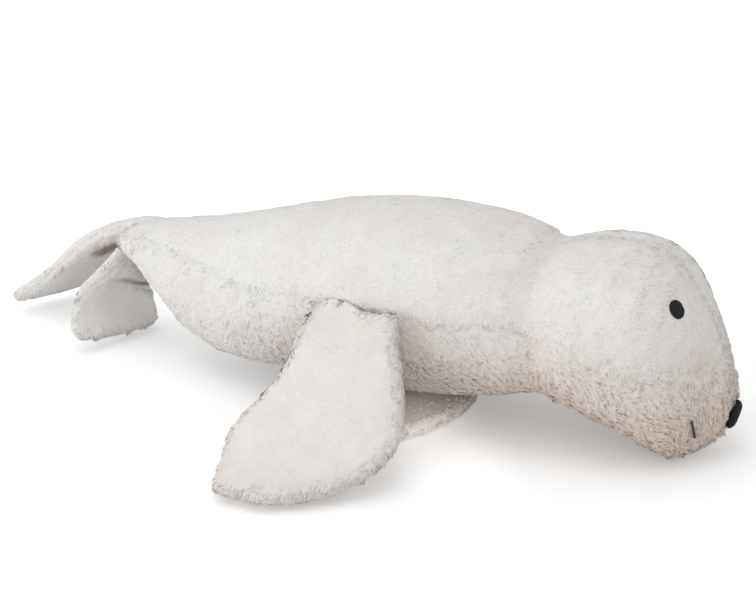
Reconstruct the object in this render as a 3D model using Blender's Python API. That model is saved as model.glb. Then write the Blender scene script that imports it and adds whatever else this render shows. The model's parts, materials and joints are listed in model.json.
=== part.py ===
"""A plush seal lying on its belly: sewn pile-fabric panels round a loose filling, four layered flippers.

Units are metres. +X points to the nose, +Z up and +Y to the seal's left side. The right front flipper is laid
out beside the body. The left one is tucked flat under the chest, which rests on it, and its end shows beside
the right one. The origin is on the floor under the chest, on the tucked flipper's flat underside.
"""

import math
from dataclasses import dataclass, replace

import bmesh
import bpy
from mathutils import Vector
from mathutils.bvhtree import BVHTree

# Driving dimensions
BODY_LENGTH = 0.387
BODY_HEIGHT = 0.161
BODY_HALF_WIDTH = 0.091
HEAD_LENGTH = 0.146
HEAD_HEIGHT = 0.156
HEAD_HALF_WIDTH = 0.083
NECK_X = 0.129
BODY_SQUARENESS = 2.3
HEAD_SQUARENESS = 2.5
HEAD_SIDE_ANGLE = 82
WIDEST_SHARE = 0.46
FABRIC = 0.005
SEAM_GAP = 0.0003
SEAT_GAP = 0.0003
ROOT_GAP = 0.0006

FRONT_FLIPPER_X = 0.000
FRONT_FLIPPER_WIDTH = 0.130
FRONT_FLIPPER_THICKNESS = 0.023
TUCKED_THICKNESS = 0.0165
TUCKED_CLEARANCE = 0.0014
LAID_OUT_REACH = 0.138
TUCKED_REACH = 0.232
TAIL_FLIPPER_WIDTH = 0.094
TAIL_FLIPPER_THICKNESS = 0.018
TAIL_ROOT_SHARE = 0.18
TAIL_LEFT_REACH = 0.137
TAIL_LEFT_SPLAY = 0.037
TAIL_RIGHT_REACH = 0.042
TAIL_RIGHT_SPLAY = 0.008
RIM_THICKNESS = 0.0108
ROOT_STUB = 0.010
FLOOR_PRESS = 0.0015
FOLLOWED_SHARE = 0.22

EYE_DIAMETER = 0.0138
EYE_THICKNESS = 0.0024
NOSE_HEIGHT = 0.027
NOSE_WIDTH = 0.024
NOSE_THICKNESS = 0.0055
STITCH_LENGTH = 0.016
STITCH_DIAMETER = 0.0017

# Mesh density: points round a cross-section, points from its top to the seams, and a flipper's grid
RING_POINTS = 36
SIDE_SEAM_POINT = 8
CHIN_SEAM_POINT = 13
BLADE_ROWS = 12
BLADE_COLUMNS = 8
DOME_SEGMENTS = 20

# Places on the head: cross-sections from the tail end, and points from the top
EYE_STATION = 19.55
EYE_POINT = 3.33
MOUTH_STATION = 21.95
MOUTH_POINT = 9.0

# Where the right tail flipper is sewn on under the tail end, counted in the same way
TAIL_RIGHT_STATION = 0.55
TAIL_RIGHT_POINT = 18.9

MATERIALS = {
    "pile_fabric": ((0.76, 0.74, 0.70, 1.0), 0.95),
    "filling": ((0.80, 0.77, 0.70, 1.0), 0.95),
    "black_felt": ((0.012, 0.011, 0.011, 1.0), 0.80),
    "mouth_thread": ((0.045, 0.030, 0.025, 1.0), 0.70),
}


def material(name):
    """Return the named material, made on its first use."""
    if name in bpy.data.materials:
        return bpy.data.materials[name]
    colour, roughness = MATERIALS[name]
    made = bpy.data.materials.new(name)
    made.use_nodes = True
    shader = made.node_tree.nodes["Principled BSDF"]
    shader.inputs["Base Color"].default_value = colour
    shader.inputs["Roughness"].default_value = roughness
    shader.inputs["Metallic"].default_value = 0.0
    return made


def add_object(name, mesh, material_name, parent):
    """Put a mesh in the scene as a named, smooth-shaded part."""
    mesh.materials.append(material(material_name))
    mesh.shade_smooth()
    mesh.set_sharp_from_angle(angle=math.radians(50))
    made = bpy.data.objects.new(name, mesh)
    made.parent = parent
    bpy.context.scene.collection.objects.link(made)
    return made


def catmull_rom(points, samples):
    """Points along a smooth curve through the given vectors, with this many samples for each span."""
    ends = [points[0] * 2 - points[1], *points, points[-1] * 2 - points[-2]]
    curve = []
    for a, b, c, d in zip(ends, ends[1:], ends[2:], ends[3:]):
        for step in range(samples):
            t = step / samples
            curve.append(
                (b * 2 + (c - a) * t + (a * 2 - b * 5 + c * 4 - d) * t * t + (b * 3 - a - c * 3 + d) * t**3) / 2
            )
    curve.append(points[-1].copy())
    return curve


@dataclass(frozen=True)
class Station:
    """One cross-section of the hide.

    It has its top and bottom points in the middle plane, its half width, its squareness, and the angles
    from the top at which the left and right side seams cross it.
    """

    top_x: float
    top_z: float
    bottom_x: float
    bottom_z: float
    half_width: float
    squareness: float
    left_seam: float
    right_seam: float

    def inset(self, depth):
        """The same cross-section, this much smaller all round."""
        top, bottom = Vector((self.top_x, self.top_z)), Vector((self.bottom_x, self.bottom_z))
        inward = (bottom - top).normalized() * depth
        top, bottom = top + inward, bottom - inward
        width = self.half_width - depth
        return replace(self, top_x=top.x, top_z=top.y, bottom_x=bottom.x, bottom_z=bottom.y, half_width=width)

    def point(self, place, floor):
        """The point at this place round the section, counted from the top over the left side."""
        half = RING_POINTS // 2
        place = (place + half) % RING_POINTS - half
        seam = self.left_seam if place > 0 else self.right_seam
        if abs(place) <= SIDE_SEAM_POINT:
            degrees = seam * abs(place) / SIDE_SEAM_POINT
        else:
            degrees = seam + (180 - seam) * (abs(place) - SIDE_SEAM_POINT) / (half - SIDE_SEAM_POINT)
        angle = math.copysign(math.radians(degrees), place)
        sine, cosine = math.sin(angle), math.cos(angle)
        power = 2 / self.squareness
        across = math.copysign(abs(sine) ** power, sine) * self.half_width
        reach = abs(cosine) ** power
        share = WIDEST_SHARE + (1 - WIDEST_SHARE) * reach if cosine > 0 else WIDEST_SHARE * (1 - reach)
        x = self.bottom_x + (self.top_x - self.bottom_x) * share
        z = self.bottom_z + (self.top_z - self.bottom_z) * share
        return Vector((x, across, max(z, floor)))


def body_stations():
    """Cross-sections from the tail end to the neck, as shares of the body's length, height and half width."""
    tail_x = NECK_X - BODY_LENGTH
    # along, top, bottom, half width, left seam angle, right seam angle
    hind = (
        (0.000, 0.705, 0.590, 0.335, 80, 50),
        (0.055, 0.732, 0.500, 0.405, 85, 50),
        (0.115, 0.757, 0.345, 0.485, 90, 50),
        (0.185, 0.786, 0.195, 0.590, 95, 52),
        (0.270, 0.822, 0.105, 0.700, 99, 60),
        (0.355, 0.874, 0.082, 0.790, 102, 70),
        (0.430, 0.922, 0.097, 0.860, 103, 76),
    )
    chest = (
        (0.500, 0.962, 0.000, 0.920, 103, 76),
        (0.570, 0.990, 0.000, 0.965, 103, 77),
        (0.650, 1.014, 0.000, 0.990, 103, 78),
        (0.740, 1.022, 0.003, 1.000, 103, 80),
        (0.830, 1.012, 0.020, 0.985, 102, 84),
        (0.910, 0.985, 0.045, 0.920, 100, 82),
        (0.965, 0.944, 0.075, 0.845, 98, 80),
    )
    lifted = TUCKED_THICKNESS + TUCKED_CLEARANCE
    stations = []
    for rows, lift in ((hind, 0.0), (chest, lifted)):
        for along, top, bottom, width, left, right in rows:
            x = tail_x + along * BODY_LENGTH
            low = lift + bottom * BODY_HEIGHT
            stations.append(
                Station(x, top * BODY_HEIGHT, x, low, width * BODY_HALF_WIDTH, BODY_SQUARENESS, left, right)
            )
    return stations


def head_stations():
    """Cross-sections from the neck seam to the muzzle: planes that fan round the chin."""
    # top x, top z, bottom x, bottom z, half width, as shares of the head's length, height and half width
    shape = (
        (-0.030, 0.912, 0.045, 0.222, 0.835),
        (0.060, 0.957, 0.110, 0.200, 0.925),
        (0.215, 0.992, 0.240, 0.168, 0.990),
        (0.380, 1.000, 0.365, 0.128, 1.000),
        (0.525, 0.980, 0.460, 0.088, 0.965),
        (0.640, 0.915, 0.545, 0.046, 0.900),
        (0.736, 0.800, 0.620, 0.004, 0.810),
        (0.816, 0.660, 0.690, -0.018, 0.690),
        (0.882, 0.520, 0.755, 0.000, 0.550),
        (0.930, 0.405, 0.820, 0.030, 0.410),
        (0.957, 0.330, 0.880, 0.075, 0.280),
        (0.964, 0.285, 0.925, 0.135, 0.160),
    )
    stations = []
    for top_x, top_z, bottom_x, bottom_z, width in shape:
        stations.append(
            Station(
                NECK_X + top_x * HEAD_LENGTH,
                top_z * HEAD_HEIGHT,
                NECK_X + bottom_x * HEAD_LENGTH,
                bottom_z * HEAD_HEIGHT,
                width * HEAD_HALF_WIDTH,
                HEAD_SQUARENESS,
                HEAD_SIDE_ANGLE,
                HEAD_SIDE_ANGLE,
            )
        )
    return stations


class Hide:
    """The outer surface of body and head, as rings of points from the tail end to the muzzle."""

    def __init__(self):
        body, head = body_stations(), head_stations()
        self.rings = body + head
        self.neck_ring = len(body)
        self.last_ring = len(self.rings) - 1
        self.grid = [[ring.point(place, 0.0) for place in range(RING_POINTS)] for ring in self.rings]
        self.normals = [[self.normal(i, j) for j in range(RING_POINTS)] for i in range(len(self.rings))]
        self.tree = BVHTree.FromPolygons(*self.tube(0.0, range(self.last_ring + 1)))

    def normal(self, i, j):
        """The outward normal at a grid point."""
        before = self.grid[max(i - 1, 0)][j]
        after = self.grid[min(i + 1, self.last_ring)][j]
        left = self.grid[i][(j + 1) % RING_POINTS]
        right = self.grid[i][(j - 1) % RING_POINTS]
        return (after - before).cross(left - right).normalized()

    def tube(self, depth, chosen):
        """Points and triangles of the surface this far under the hide, closed at both ends."""
        points = [self.at(i, j, depth) for i in chosen for j in range(RING_POINTS)]
        faces = []
        for i in range(len(chosen) - 1):
            for j in range(RING_POINTS):
                a, b = i * RING_POINTS + j, i * RING_POINTS + (j + 1) % RING_POINTS
                c, d = a + RING_POINTS, b + RING_POINTS
                faces += [(a, c, b), (b, c, d)]
        last = (len(chosen) - 1) * RING_POINTS
        for first, step in ((0, 1), (last, -1)):
            ring = range(first, first + RING_POINTS)
            points.append(sum((points[k] for k in ring), Vector()) / RING_POINTS)
            for k in ring:
                pair = (k, first + (k - first + 1) % RING_POINTS)
                faces.append((*pair[::step], len(points) - 1))
        return points, faces

    def cleared(self, point):
        """The point itself, or the nearest place that is a root's gap off the hide."""
        near, normal, _, _ = self.tree.find_nearest(point)
        short = ROOT_GAP - (point - near).dot(normal)
        return point + normal * short if short > 0 else point

    def at(self, i, j, depth):
        """The point this far under the surface: by smaller rings on the body, by normals on the head."""
        j %= RING_POINTS
        if i <= self.neck_ring:
            return self.rings[i].inset(depth).point(j, depth)
        return self.grid[i][j] - self.normals[i][j] * depth

    def beside(self, x, place):
        """A point and its normal on the body, at this x or at its nearer end, and this place round it."""
        for i in range(self.neck_ring):
            before, _ = self.on_face(i, place)
            after, _ = self.on_face(i + 1, place)
            if x <= after.x:
                break
        share = (x - before.x) / (after.x - before.x)
        return self.on_face(i + min(max(share, 0.0), 1.0), place)

    def on_face(self, ring, place):
        """A point and its normal on the hide, at fractional places along and round it."""
        i, j = math.floor(ring), math.floor(place)
        u, v = ring - i, place - j

        def mix(table):
            low = table[i][j % RING_POINTS].lerp(table[i][(j + 1) % RING_POINTS], v)
            high = table[i + 1][j % RING_POINTS].lerp(table[i + 1][(j + 1) % RING_POINTS], v)
            return low.lerp(high, u)

        return mix(self.grid), mix(self.normals).normalized()


def grid_solid(name, outer, inner):
    """Close two matching grids of points into one solid, with its border walled all round."""
    rows, columns = len(outer), len(outer[0])
    points = [point for row in outer for point in row] + [point for row in inner for point in row]
    below = rows * columns
    faces = []
    for i in range(rows - 1):
        for j in range(columns - 1):
            a, b = i * columns + j, i * columns + j + 1
            c, d = a + columns, b + columns
            faces += [(a, c, b), (b, c, d)]
            faces += [(a + below, b + below, c + below), (b + below, d + below, c + below)]
    border = [j for j in range(columns)]
    border += [i * columns + columns - 1 for i in range(1, rows)]
    border += [(rows - 1) * columns + j for j in range(columns - 2, -1, -1)]
    border += [i * columns for i in range(rows - 2, 0, -1)]
    for pair in zip(border, border[1:] + border[:1]):
        a, b = min(pair), max(pair)
        faces += [(a, b, b + below), (a, b + below, a + below)]
    mesh = bpy.data.meshes.new(name)
    mesh.from_pydata(points, [], faces)
    outward(mesh)
    return mesh


def outward(mesh):
    """Turn all faces outwards."""
    work = bmesh.new()
    work.from_mesh(mesh)
    bmesh.ops.recalc_face_normals(work, faces=work.faces)
    work.to_mesh(mesh)
    work.free()


def pulled_in(grid, gap, edges):
    """Draw the named edges of a grid in by half a gap, so that two neighbours stay a gap apart."""
    moved = [[point.copy() for point in row] for row in grid]
    last_row, last_column = len(grid) - 1, len(grid[0]) - 1
    for i in range(last_row + 1):
        for name, column, beside in (("low", 0, 1), ("high", last_column, last_column - 1)):
            if name in edges:
                moved[i][column] += (grid[i][beside] - grid[i][column]).normalized() * gap / 2
    for j in range(last_column + 1):
        for name, row, beside in (("start", 0, 1), ("end", last_row, last_row - 1)):
            if name in edges:
                moved[row][j] += (grid[beside][j] - grid[row][j]).normalized() * gap / 2
    return moved


def add_panel(name, hide, rows, columns, edges, parent):
    """One sewn panel of the hide, between two rings and two seams."""
    outer = [[hide.at(i, j, 0) for j in columns] for i in rows]
    inner = [[hide.at(i, j, FABRIC) for j in columns] for i in rows]
    mesh = grid_solid(name, pulled_in(outer, SEAM_GAP, edges), pulled_in(inner, SEAM_GAP, edges))
    return add_object(name, mesh, "pile_fabric", parent)


def add_hide(hide, parent):
    """The five panels: back, belly, the two sides of the head, and the chin."""
    body_rows = range(0, hide.neck_ring + 1)
    head_rows = range(hide.neck_ring, hide.last_ring + 1)
    side, chin, full = SIDE_SEAM_POINT, CHIN_SEAM_POINT, RING_POINTS
    on_body, on_head = ("low", "high", "end"), ("low", "high", "start")
    add_panel("back_panel", hide, body_rows, range(-side, side + 1), on_body, parent)
    add_panel("belly_panel", hide, body_rows, range(side, full - side + 1), on_body, parent)
    add_panel("head_side_left", hide, head_rows, range(0, chin + 1), on_head, parent)
    add_panel("head_side_right", hide, head_rows, range(full - chin, full + 1), on_head, parent)
    add_panel("chin_panel", hide, head_rows, range(chin, full - chin + 1), on_head, parent)


def add_body_filling(hide, parent):
    """The loose filling of body and head, one mass through the neck."""
    points, faces = hide.tube(FABRIC + SEAM_GAP, range(1, hide.last_ring))
    mesh = bpy.data.meshes.new("body_filling")
    mesh.from_pydata(points, [], faces)
    outward(mesh)
    add_object("body_filling", mesh, "filling", parent)


@dataclass(frozen=True)
class Outline:
    """A flipper's outline: along its length, the reach of its rear and front edges, as shares of its width."""

    points: tuple

    def reach(self, share):
        """Rear and front reach at this share of the length, smoothly between the points."""
        rows = catmull_rom([Vector(point) for point in self.points], 8)
        for a, b in zip(rows, rows[1:]):
            if a.x <= share <= b.x:
                mixed = a.lerp(b, (share - a.x) / max(b.x - a.x, 1e-9))
                return mixed.y, mixed.z
        return rows[-1].y, rows[-1].z


FRONT_OUTLINE = Outline(
    (
        (0.00, -0.31, 0.31),
        (0.16, -0.26, 0.36),
        (0.33, -0.26, 0.45),
        (0.46, -0.33, 0.51),
        (0.58, -0.43, 0.52),
        (0.70, -0.45, 0.45),
        (0.82, -0.40, 0.31),
        (0.92, -0.36, 0.15),
        (0.98, -0.33, 0.03),
        (1.00, -0.30, -0.03),
    )
)
TAIL_OUTLINE = Outline(
    (
        (0.00, -0.155, 0.155),
        (0.18, -0.165, 0.165),
        (0.35, -0.25, 0.30),
        (0.48, -0.38, 0.42),
        (0.62, -0.48, 0.47),
        (0.78, -0.52, 0.50),
        (0.92, -0.50, 0.48),
        (0.98, -0.44, 0.42),
        (1.00, -0.37, 0.35),
    )
)


# Routes of the flippers' middle lines, as shares of their reach, splay and drop to the floor:
# outwards and down for the one laid out; round the flank, with slack as a share of its thickness,
# and then flat under the chest, for the tucked one; back, aside and down for the tail flippers.
LAID_OUT_SHARES = ((0.20, 0.25), (0.37, 0.60), (0.60, 0.88), (0.82, 1.0), (1.0, 1.0))
TUCKED_SHARES = ((0.20, 0.30), (0.35, 0.12), (0.50, 0.10), (0.66, 0.07))
TUCKED_FLAT_SHARES = (0.24, 0.62, 1.0)
TAIL_LEFT_SHARES = (
    (0, 0, 0),
    (0.18, 0, 0),
    (0.36, 0.11, 0.13),
    (0.56, 0.38, 0.45),
    (0.79, 0.70, 0.78),
    (1, 1, 1),
)
TAIL_RIGHT_SHARES = (
    (0, 0, 0),
    (0.12, 0, 0.08),
    (0.42, 0, 0.22),
    (0.95, 1, 0.46),
    (1, 0.90, 0.75),
    (0.60, 0.10, 1),
)
TAIL_LEFT_ACROSS = (-0.36, -1, 0)
TAIL_RIGHT_ACROSS = (-0.18, -1, 0)


@dataclass
class Blade:
    """A flipper: two layers of pile fabric sewn round a thin filling, along a curved middle line."""

    name: str
    line: list
    across_root: Vector
    across_tip: Vector
    outline: Outline
    width: float
    thickness: float
    turn: int = 1
    follow: object = None

    def rows(self):
        """Centre, sideways and upward directions, and reaches, at even steps from root to tip."""
        curve = catmull_rom(self.line, 12)
        lengths = [0.0]
        for a, b in zip(curve, curve[1:]):
            lengths.append(lengths[-1] + (b - a).length)
        rows = []
        for step in range(BLADE_ROWS + 1):
            share = step / BLADE_ROWS
            share = 1 - (1 - share) ** 1.25
            target = share * lengths[-1]
            k = min(next(n for n, length in enumerate(lengths) if length >= target - 1e-9), len(curve) - 1)
            k = max(k, 1)
            t = (target - lengths[k - 1]) / (lengths[k] - lengths[k - 1])
            centre = curve[k - 1].lerp(curve[k], t)
            ahead = (curve[min(k + 1, len(curve) - 1)] - curve[max(k - 2, 0)]).normalized()
            if step == 0:
                ahead = (self.line[1] - self.line[0]).normalized()
            across = self.across_root.lerp(self.across_tip, share)
            across = (across - ahead * across.dot(ahead)).normalized()
            upward = across.cross(ahead).normalized() * self.turn
            rows.append((share, centre, across, upward, self.outline.reach(share)))
        return rows

    def half_thickness(self, share, side):
        """Half the blade's thickness at a share of its length and a place across it from -1 to 1."""
        rim = RIM_THICKNESS / 2
        across = math.sqrt(max(1 - side * side, 0.0))
        along = min(1.0, 0.25 + 2.2 * share, 4.0 * (1 - share))
        return rim + max(self.thickness / 2 - rim, 0.0) * across * along

    def surface(self, height, rows, columns):
        """A grid of points at a height above the middle line, where height is a function of place."""
        table = self.rows()
        grid = []
        for i in rows:
            share, centre, across, upward, (rear, front) = table[i]
            row = []
            for j in columns:
                side = math.sin((2 * j / BLADE_COLUMNS - 1) * math.pi / 2)
                offset = ((rear + front) / 2 + side * (front - rear) / 2) * self.width
                point = centre + across * offset + upward * height(share, side)
                if self.follow:
                    point = self.follow(point, share)
                row.append(Vector((point.x, point.y, max(point.z, 0.0))))
            grid.append(row)
        return grid

    def add(self, parent):
        """Add the upper layer, the lower layer and the filling."""
        rows, columns = range(BLADE_ROWS + 1), range(BLADE_COLUMNS + 1)
        for word, sign in (("upper", 1), ("lower", -1)):
            outer = self.surface(lambda s, t: sign * self.half_thickness(s, t), rows, columns)
            inner = self.surface(lambda s, t: sign * (self.half_thickness(s, t) - FABRIC), rows, columns)
            name = f"{self.name}_{word}"
            add_object(name, grid_solid(name, outer, inner), "pile_fabric", parent)
        depth = FABRIC + SEAM_GAP
        inside_rows, inside_columns = range(1, BLADE_ROWS - 1), range(1, BLADE_COLUMNS)
        top = self.surface(lambda s, t: self.half_thickness(s, t) - depth, inside_rows, inside_columns)
        bottom = self.surface(lambda s, t: depth - self.half_thickness(s, t), inside_rows, inside_columns)
        name = f"{self.name}_filling"
        add_object(name, grid_solid(name, top, bottom), "filling", parent)


def laid_out_line(root, normal):
    """Where the right front flipper runs: out of its seam, down the flank and over the floor."""
    drop = root.z - FRONT_FLIPPER_THICKNESS / 2
    line = [root + normal * ROOT_GAP, root + normal * ROOT_STUB]
    return line + [root - Vector((0, out * LAID_OUT_REACH, down * drop)) for out, down in LAID_OUT_SHARES]


def tucked_line(hide, root, normal):
    """Where the left front flipper runs: round the flank, and flat on the floor under the chest."""
    half = TUCKED_THICKNESS / 2
    line = [root + normal * ROOT_GAP, root + normal * ROOT_STUB]
    for share, slack in TUCKED_SHARES:
        place = SIDE_SEAM_POINT + share * (RING_POINTS / 2 - SIDE_SEAM_POINT)
        point, outward_here = hide.beside(root.x, place)
        line.append(point + outward_here * (half + slack * TUCKED_THICKNESS))
    for share in TUCKED_FLAT_SHARES:
        line.append(Vector((root.x, root.y - share * TUCKED_REACH, half - FLOOR_PRESS)))
    return line


def add_front_flippers(hide, parent):
    """The right flipper laid out on the floor, and the left one tucked under the chest."""
    for name, side in (("front_flipper_right", -1), ("front_flipper_left", 1)):
        seam = side * SIDE_SEAM_POINT
        root, normal = hide.beside(FRONT_FLIPPER_X, seam)

        def follow(point, share, root=root, seam=seam):
            near, _ = hide.beside(point.x, seam)
            fade = max(1 - share / FOLLOWED_SHARE, 0.0)
            return hide.cleared(point + Vector((0, near.y - root.y, near.z - root.z)) * fade)

        if side < 0:
            line, thickness = laid_out_line(root, normal), FRONT_FLIPPER_THICKNESS
        else:
            line, thickness = tucked_line(hide, root, normal), TUCKED_THICKNESS
        across = Vector((1, 0, 0))
        blade = Blade(name, line, across, across, FRONT_OUTLINE, FRONT_FLIPPER_WIDTH, thickness, side, follow)
        blade.add(parent)


def add_tail_flippers(hide, parent):
    """The left tail flipper runs back from the tail end to the floor, and the right one hangs from under it."""
    top, bottom = hide.grid[0][0], hide.grid[0][RING_POINTS // 2]
    end = (top + bottom) / 2 + Vector((-ROOT_GAP, TAIL_ROOT_SHARE * TAIL_FLIPPER_WIDTH, 0))
    under, normal = hide.on_face(TAIL_RIGHT_STATION, TAIL_RIGHT_POINT)
    left = (TAIL_LEFT_REACH, TAIL_LEFT_SPLAY, TAIL_LEFT_SHARES, TAIL_LEFT_ACROSS)
    right = (TAIL_RIGHT_REACH, TAIL_RIGHT_SPLAY, TAIL_RIGHT_SHARES, TAIL_RIGHT_ACROSS)
    sides = (("tail_flipper_left", end, left), ("tail_flipper_right", under + normal * ROOT_GAP, right))
    for name, start, values in sides:
        reach, splay, route, across = values
        drop = start.z - TAIL_FLIPPER_THICKNESS / 2
        line = [start + Vector((-reach * back, splay * aside, -drop * down)) for back, aside, down in route]
        blade = Blade(
            name,
            line,
            Vector((0, -1, 0)),
            Vector(across),
            TAIL_OUTLINE,
            TAIL_FLIPPER_WIDTH,
            TAIL_FLIPPER_THICKNESS,
            -1,
            lambda point, share: hide.cleared(point),
        )
        blade.add(parent)


def add_dome(name, point, normal, width, height, thickness, material_name, parent):
    """A felt patch with a flat back and a crowned front, laid on the fabric."""
    work = bmesh.new()
    angles = [2 * math.pi * k / DOME_SEGMENTS for k in range(DOME_SEGMENTS)]
    made = []
    for reach, rise in ((1.00, 0.0), (1.00, 0.35), (0.86, 0.72), (0.50, 0.95)):
        across, up = reach * width / 2, reach * height / 2
        ring = [(math.cos(angle) * across, math.sin(angle) * up, rise * thickness) for angle in angles]
        made.append([work.verts.new(place) for place in ring])
    for lower, upper in zip(made, made[1:]):
        for k in range(DOME_SEGMENTS):
            following = (k + 1) % DOME_SEGMENTS
            work.faces.new((lower[k], lower[following], upper[following], upper[k]))
    work.faces.new(made[-1])
    work.faces.new(tuple(reversed(made[0])))
    bmesh.ops.recalc_face_normals(work, faces=work.faces)
    mesh = bpy.data.meshes.new(name)
    work.to_mesh(mesh)
    work.free()
    patch = add_object(name, mesh, material_name, parent)
    patch.location = point + normal * SEAT_GAP
    patch.rotation_mode = "QUATERNION"
    patch.rotation_quaternion = normal.to_track_quat("Z", "Y")
    return patch


def add_face(hide, parent):
    """The two eyes, the nose over the muzzle's opening, and the two mouth stitches."""
    for name, side in (("eye_left", 1), ("eye_right", -1)):
        point, normal = hide.on_face(EYE_STATION, side * EYE_POINT % RING_POINTS)
        add_dome(name, point, normal, EYE_DIAMETER, EYE_DIAMETER, EYE_THICKNESS, "black_felt", parent)
    end = hide.grid[hide.last_ring]
    middle = sum(end, Vector()) / RING_POINTS
    axis = (end[0] - end[RING_POINTS // 2]).cross(Vector((0, -1, 0))).normalized()
    add_dome("nose", middle, axis, NOSE_HEIGHT, NOSE_WIDTH, NOSE_THICKNESS, "black_felt", parent)
    for name, side in (("mouth_stitch_left", 1), ("mouth_stitch_right", -1)):
        add_stitch(name, hide, side, parent)


def add_stitch(name, hide, side, parent):
    """One straight stitch of thick thread on the fabric, down the corner of the mouth."""
    top, normal = hide.on_face(MOUTH_STATION, side * MOUTH_POINT % RING_POINTS)
    down = Vector((0.13, -0.40 * side, -0.91))
    down = (down - normal * down.dot(normal)).normalized()
    lift = normal * (STITCH_DIAMETER / 2 + SEAT_GAP)
    curve = bpy.data.curves.new(name, "CURVE")
    curve.dimensions = "3D"
    curve.bevel_depth = STITCH_DIAMETER / 2
    curve.bevel_resolution = 2
    curve.use_fill_caps = True
    spline = curve.splines.new("POLY")
    spline.points.add(1)
    for k, share in enumerate((-0.5, 0.5)):
        place = top + lift + down * share * STITCH_LENGTH
        spline.points[k].co = (*place, 1.0)
    curve.materials.append(material("mouth_thread"))
    stitch = bpy.data.objects.new(name, curve)
    stitch.parent = parent
    bpy.context.scene.collection.objects.link(stitch)


def main():
    """Clear the scene and build the seal."""
    for old in list(bpy.data.objects):
        bpy.data.objects.remove(old)
    seal = bpy.data.objects.new("plush_seal", None)
    bpy.context.scene.collection.objects.link(seal)
    hide = Hide()
    add_hide(hide, seal)
    add_body_filling(hide, seal)
    add_front_flippers(hide, seal)
    add_tail_flippers(hide, seal)
    add_face(hide, seal)


main()
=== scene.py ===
"""Dresses the plush seal: stuffed forms with a short curly pile, felt eyes and nose, and the mouth stitches.

Every stuffed form starts from its own CAD solids. It is remeshed, swelled by cloth pressure between its
seams, refined, and covered with locks of pile. Units are metres, +X is towards the nose and +Z is up.
"""

import itertools
import json
import logging
import math
from dataclasses import dataclass, field
from enum import Enum

import bmesh
import bpy
import numpy as np
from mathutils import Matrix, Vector
from mathutils.bvhtree import BVHTree
from mathutils.kdtree import KDTree

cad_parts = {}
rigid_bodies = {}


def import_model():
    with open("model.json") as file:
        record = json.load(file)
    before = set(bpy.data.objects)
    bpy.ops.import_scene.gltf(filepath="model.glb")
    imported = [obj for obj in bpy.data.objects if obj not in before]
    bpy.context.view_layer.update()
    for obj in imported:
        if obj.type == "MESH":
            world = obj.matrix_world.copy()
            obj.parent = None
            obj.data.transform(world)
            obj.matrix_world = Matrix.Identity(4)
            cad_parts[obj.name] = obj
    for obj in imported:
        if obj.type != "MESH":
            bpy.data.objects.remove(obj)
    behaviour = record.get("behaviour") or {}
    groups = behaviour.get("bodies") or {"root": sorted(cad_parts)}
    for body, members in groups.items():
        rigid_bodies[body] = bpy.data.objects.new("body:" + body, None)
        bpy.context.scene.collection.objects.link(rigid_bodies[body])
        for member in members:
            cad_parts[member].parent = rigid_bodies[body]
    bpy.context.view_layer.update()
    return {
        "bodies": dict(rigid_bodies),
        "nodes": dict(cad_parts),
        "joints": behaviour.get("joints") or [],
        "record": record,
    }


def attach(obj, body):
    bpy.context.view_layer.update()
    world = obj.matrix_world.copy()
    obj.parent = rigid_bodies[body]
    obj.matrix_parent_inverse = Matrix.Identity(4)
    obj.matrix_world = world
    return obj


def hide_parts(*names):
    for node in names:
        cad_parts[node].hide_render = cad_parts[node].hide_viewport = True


LOG = logging.getLogger("plush_seal")
MM = 0.001


class Lay(Enum):
    """How the pile lies on a form: the direction in which its locks run from root to tip."""

    FORWARD_DOWN = (0.62, -0.05, -0.78)
    OUT_RIGHT = (-0.20, -0.80, -0.56)
    UNDER_RIGHT = (0.10, -0.99, -0.10)
    BACK_DOWN = (-0.80, 0.10, -0.60)
    DOWN = (-0.35, -0.30, -0.89)


# ---- small tools


def select_only(obj: bpy.types.Object) -> None:
    """Make this object the only one selected, and the active one."""
    if bpy.context.mode != "OBJECT":
        bpy.ops.object.mode_set(mode="OBJECT")
    bpy.ops.object.select_all(action="DESELECT")
    obj.select_set(True)
    bpy.context.view_layer.objects.active = obj


def apply_modifier(obj: bpy.types.Object, kind: str, **values: object) -> None:
    """Add a modifier with these values and apply it.

    Args:
        obj: The object that gets it.
        kind: Blender's name for the type of modifier.
        **values: Its settings.
    """
    select_only(obj)
    modifier = obj.modifiers.new(kind.lower(), kind)
    for name, value in values.items():
        setattr(modifier, name, value)
    bpy.ops.object.modifier_apply(modifier=modifier.name)


def coordinates(mesh: bpy.types.Mesh) -> np.ndarray:
    """Return the mesh's points as an array of rows."""
    flat = np.empty(len(mesh.vertices) * 3)
    mesh.vertices.foreach_get("co", flat)
    return flat.reshape(-1, 3)


def set_coordinates(mesh: bpy.types.Mesh, points: np.ndarray) -> None:
    """Write the points back to the mesh."""
    mesh.vertices.foreach_set("co", points.reshape(-1))
    mesh.update()


def vertex_normals(mesh: bpy.types.Mesh) -> np.ndarray:
    """Return the normals at the mesh's points as an array of rows."""
    flat = np.empty(len(mesh.vertices) * 3)
    mesh.vertex_normals.foreach_get("vector", flat)
    return flat.reshape(-1, 3)


def smoothstep(low: float, high: float, values: np.ndarray) -> np.ndarray:
    """Return 0 below low, 1 above high, and a smooth rise between them."""
    share = np.clip((values - low) / (high - low), 0.0, 1.0)
    return share * share * (3 - 2 * share)


def bell(values: np.ndarray, width: float) -> np.ndarray:
    """Return 1 where the values are 0, falling smoothly to 0 over about twice the width on both sides."""
    return np.exp(-((values / width) ** 2))


def surface_tree(mesh: bpy.types.Mesh) -> BVHTree:
    """Return a tree that finds the nearest place on the mesh's surface."""
    return BVHTree.FromPolygons([v.co.copy() for v in mesh.vertices], [p.vertices[:] for p in mesh.polygons])


# ---- noise for the pile

NOISE_ORIGIN = 100.0
NOISE_GAIN = 1.7
CELL_ORIGIN = 200.0
FARTHEST = 9.0

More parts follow.
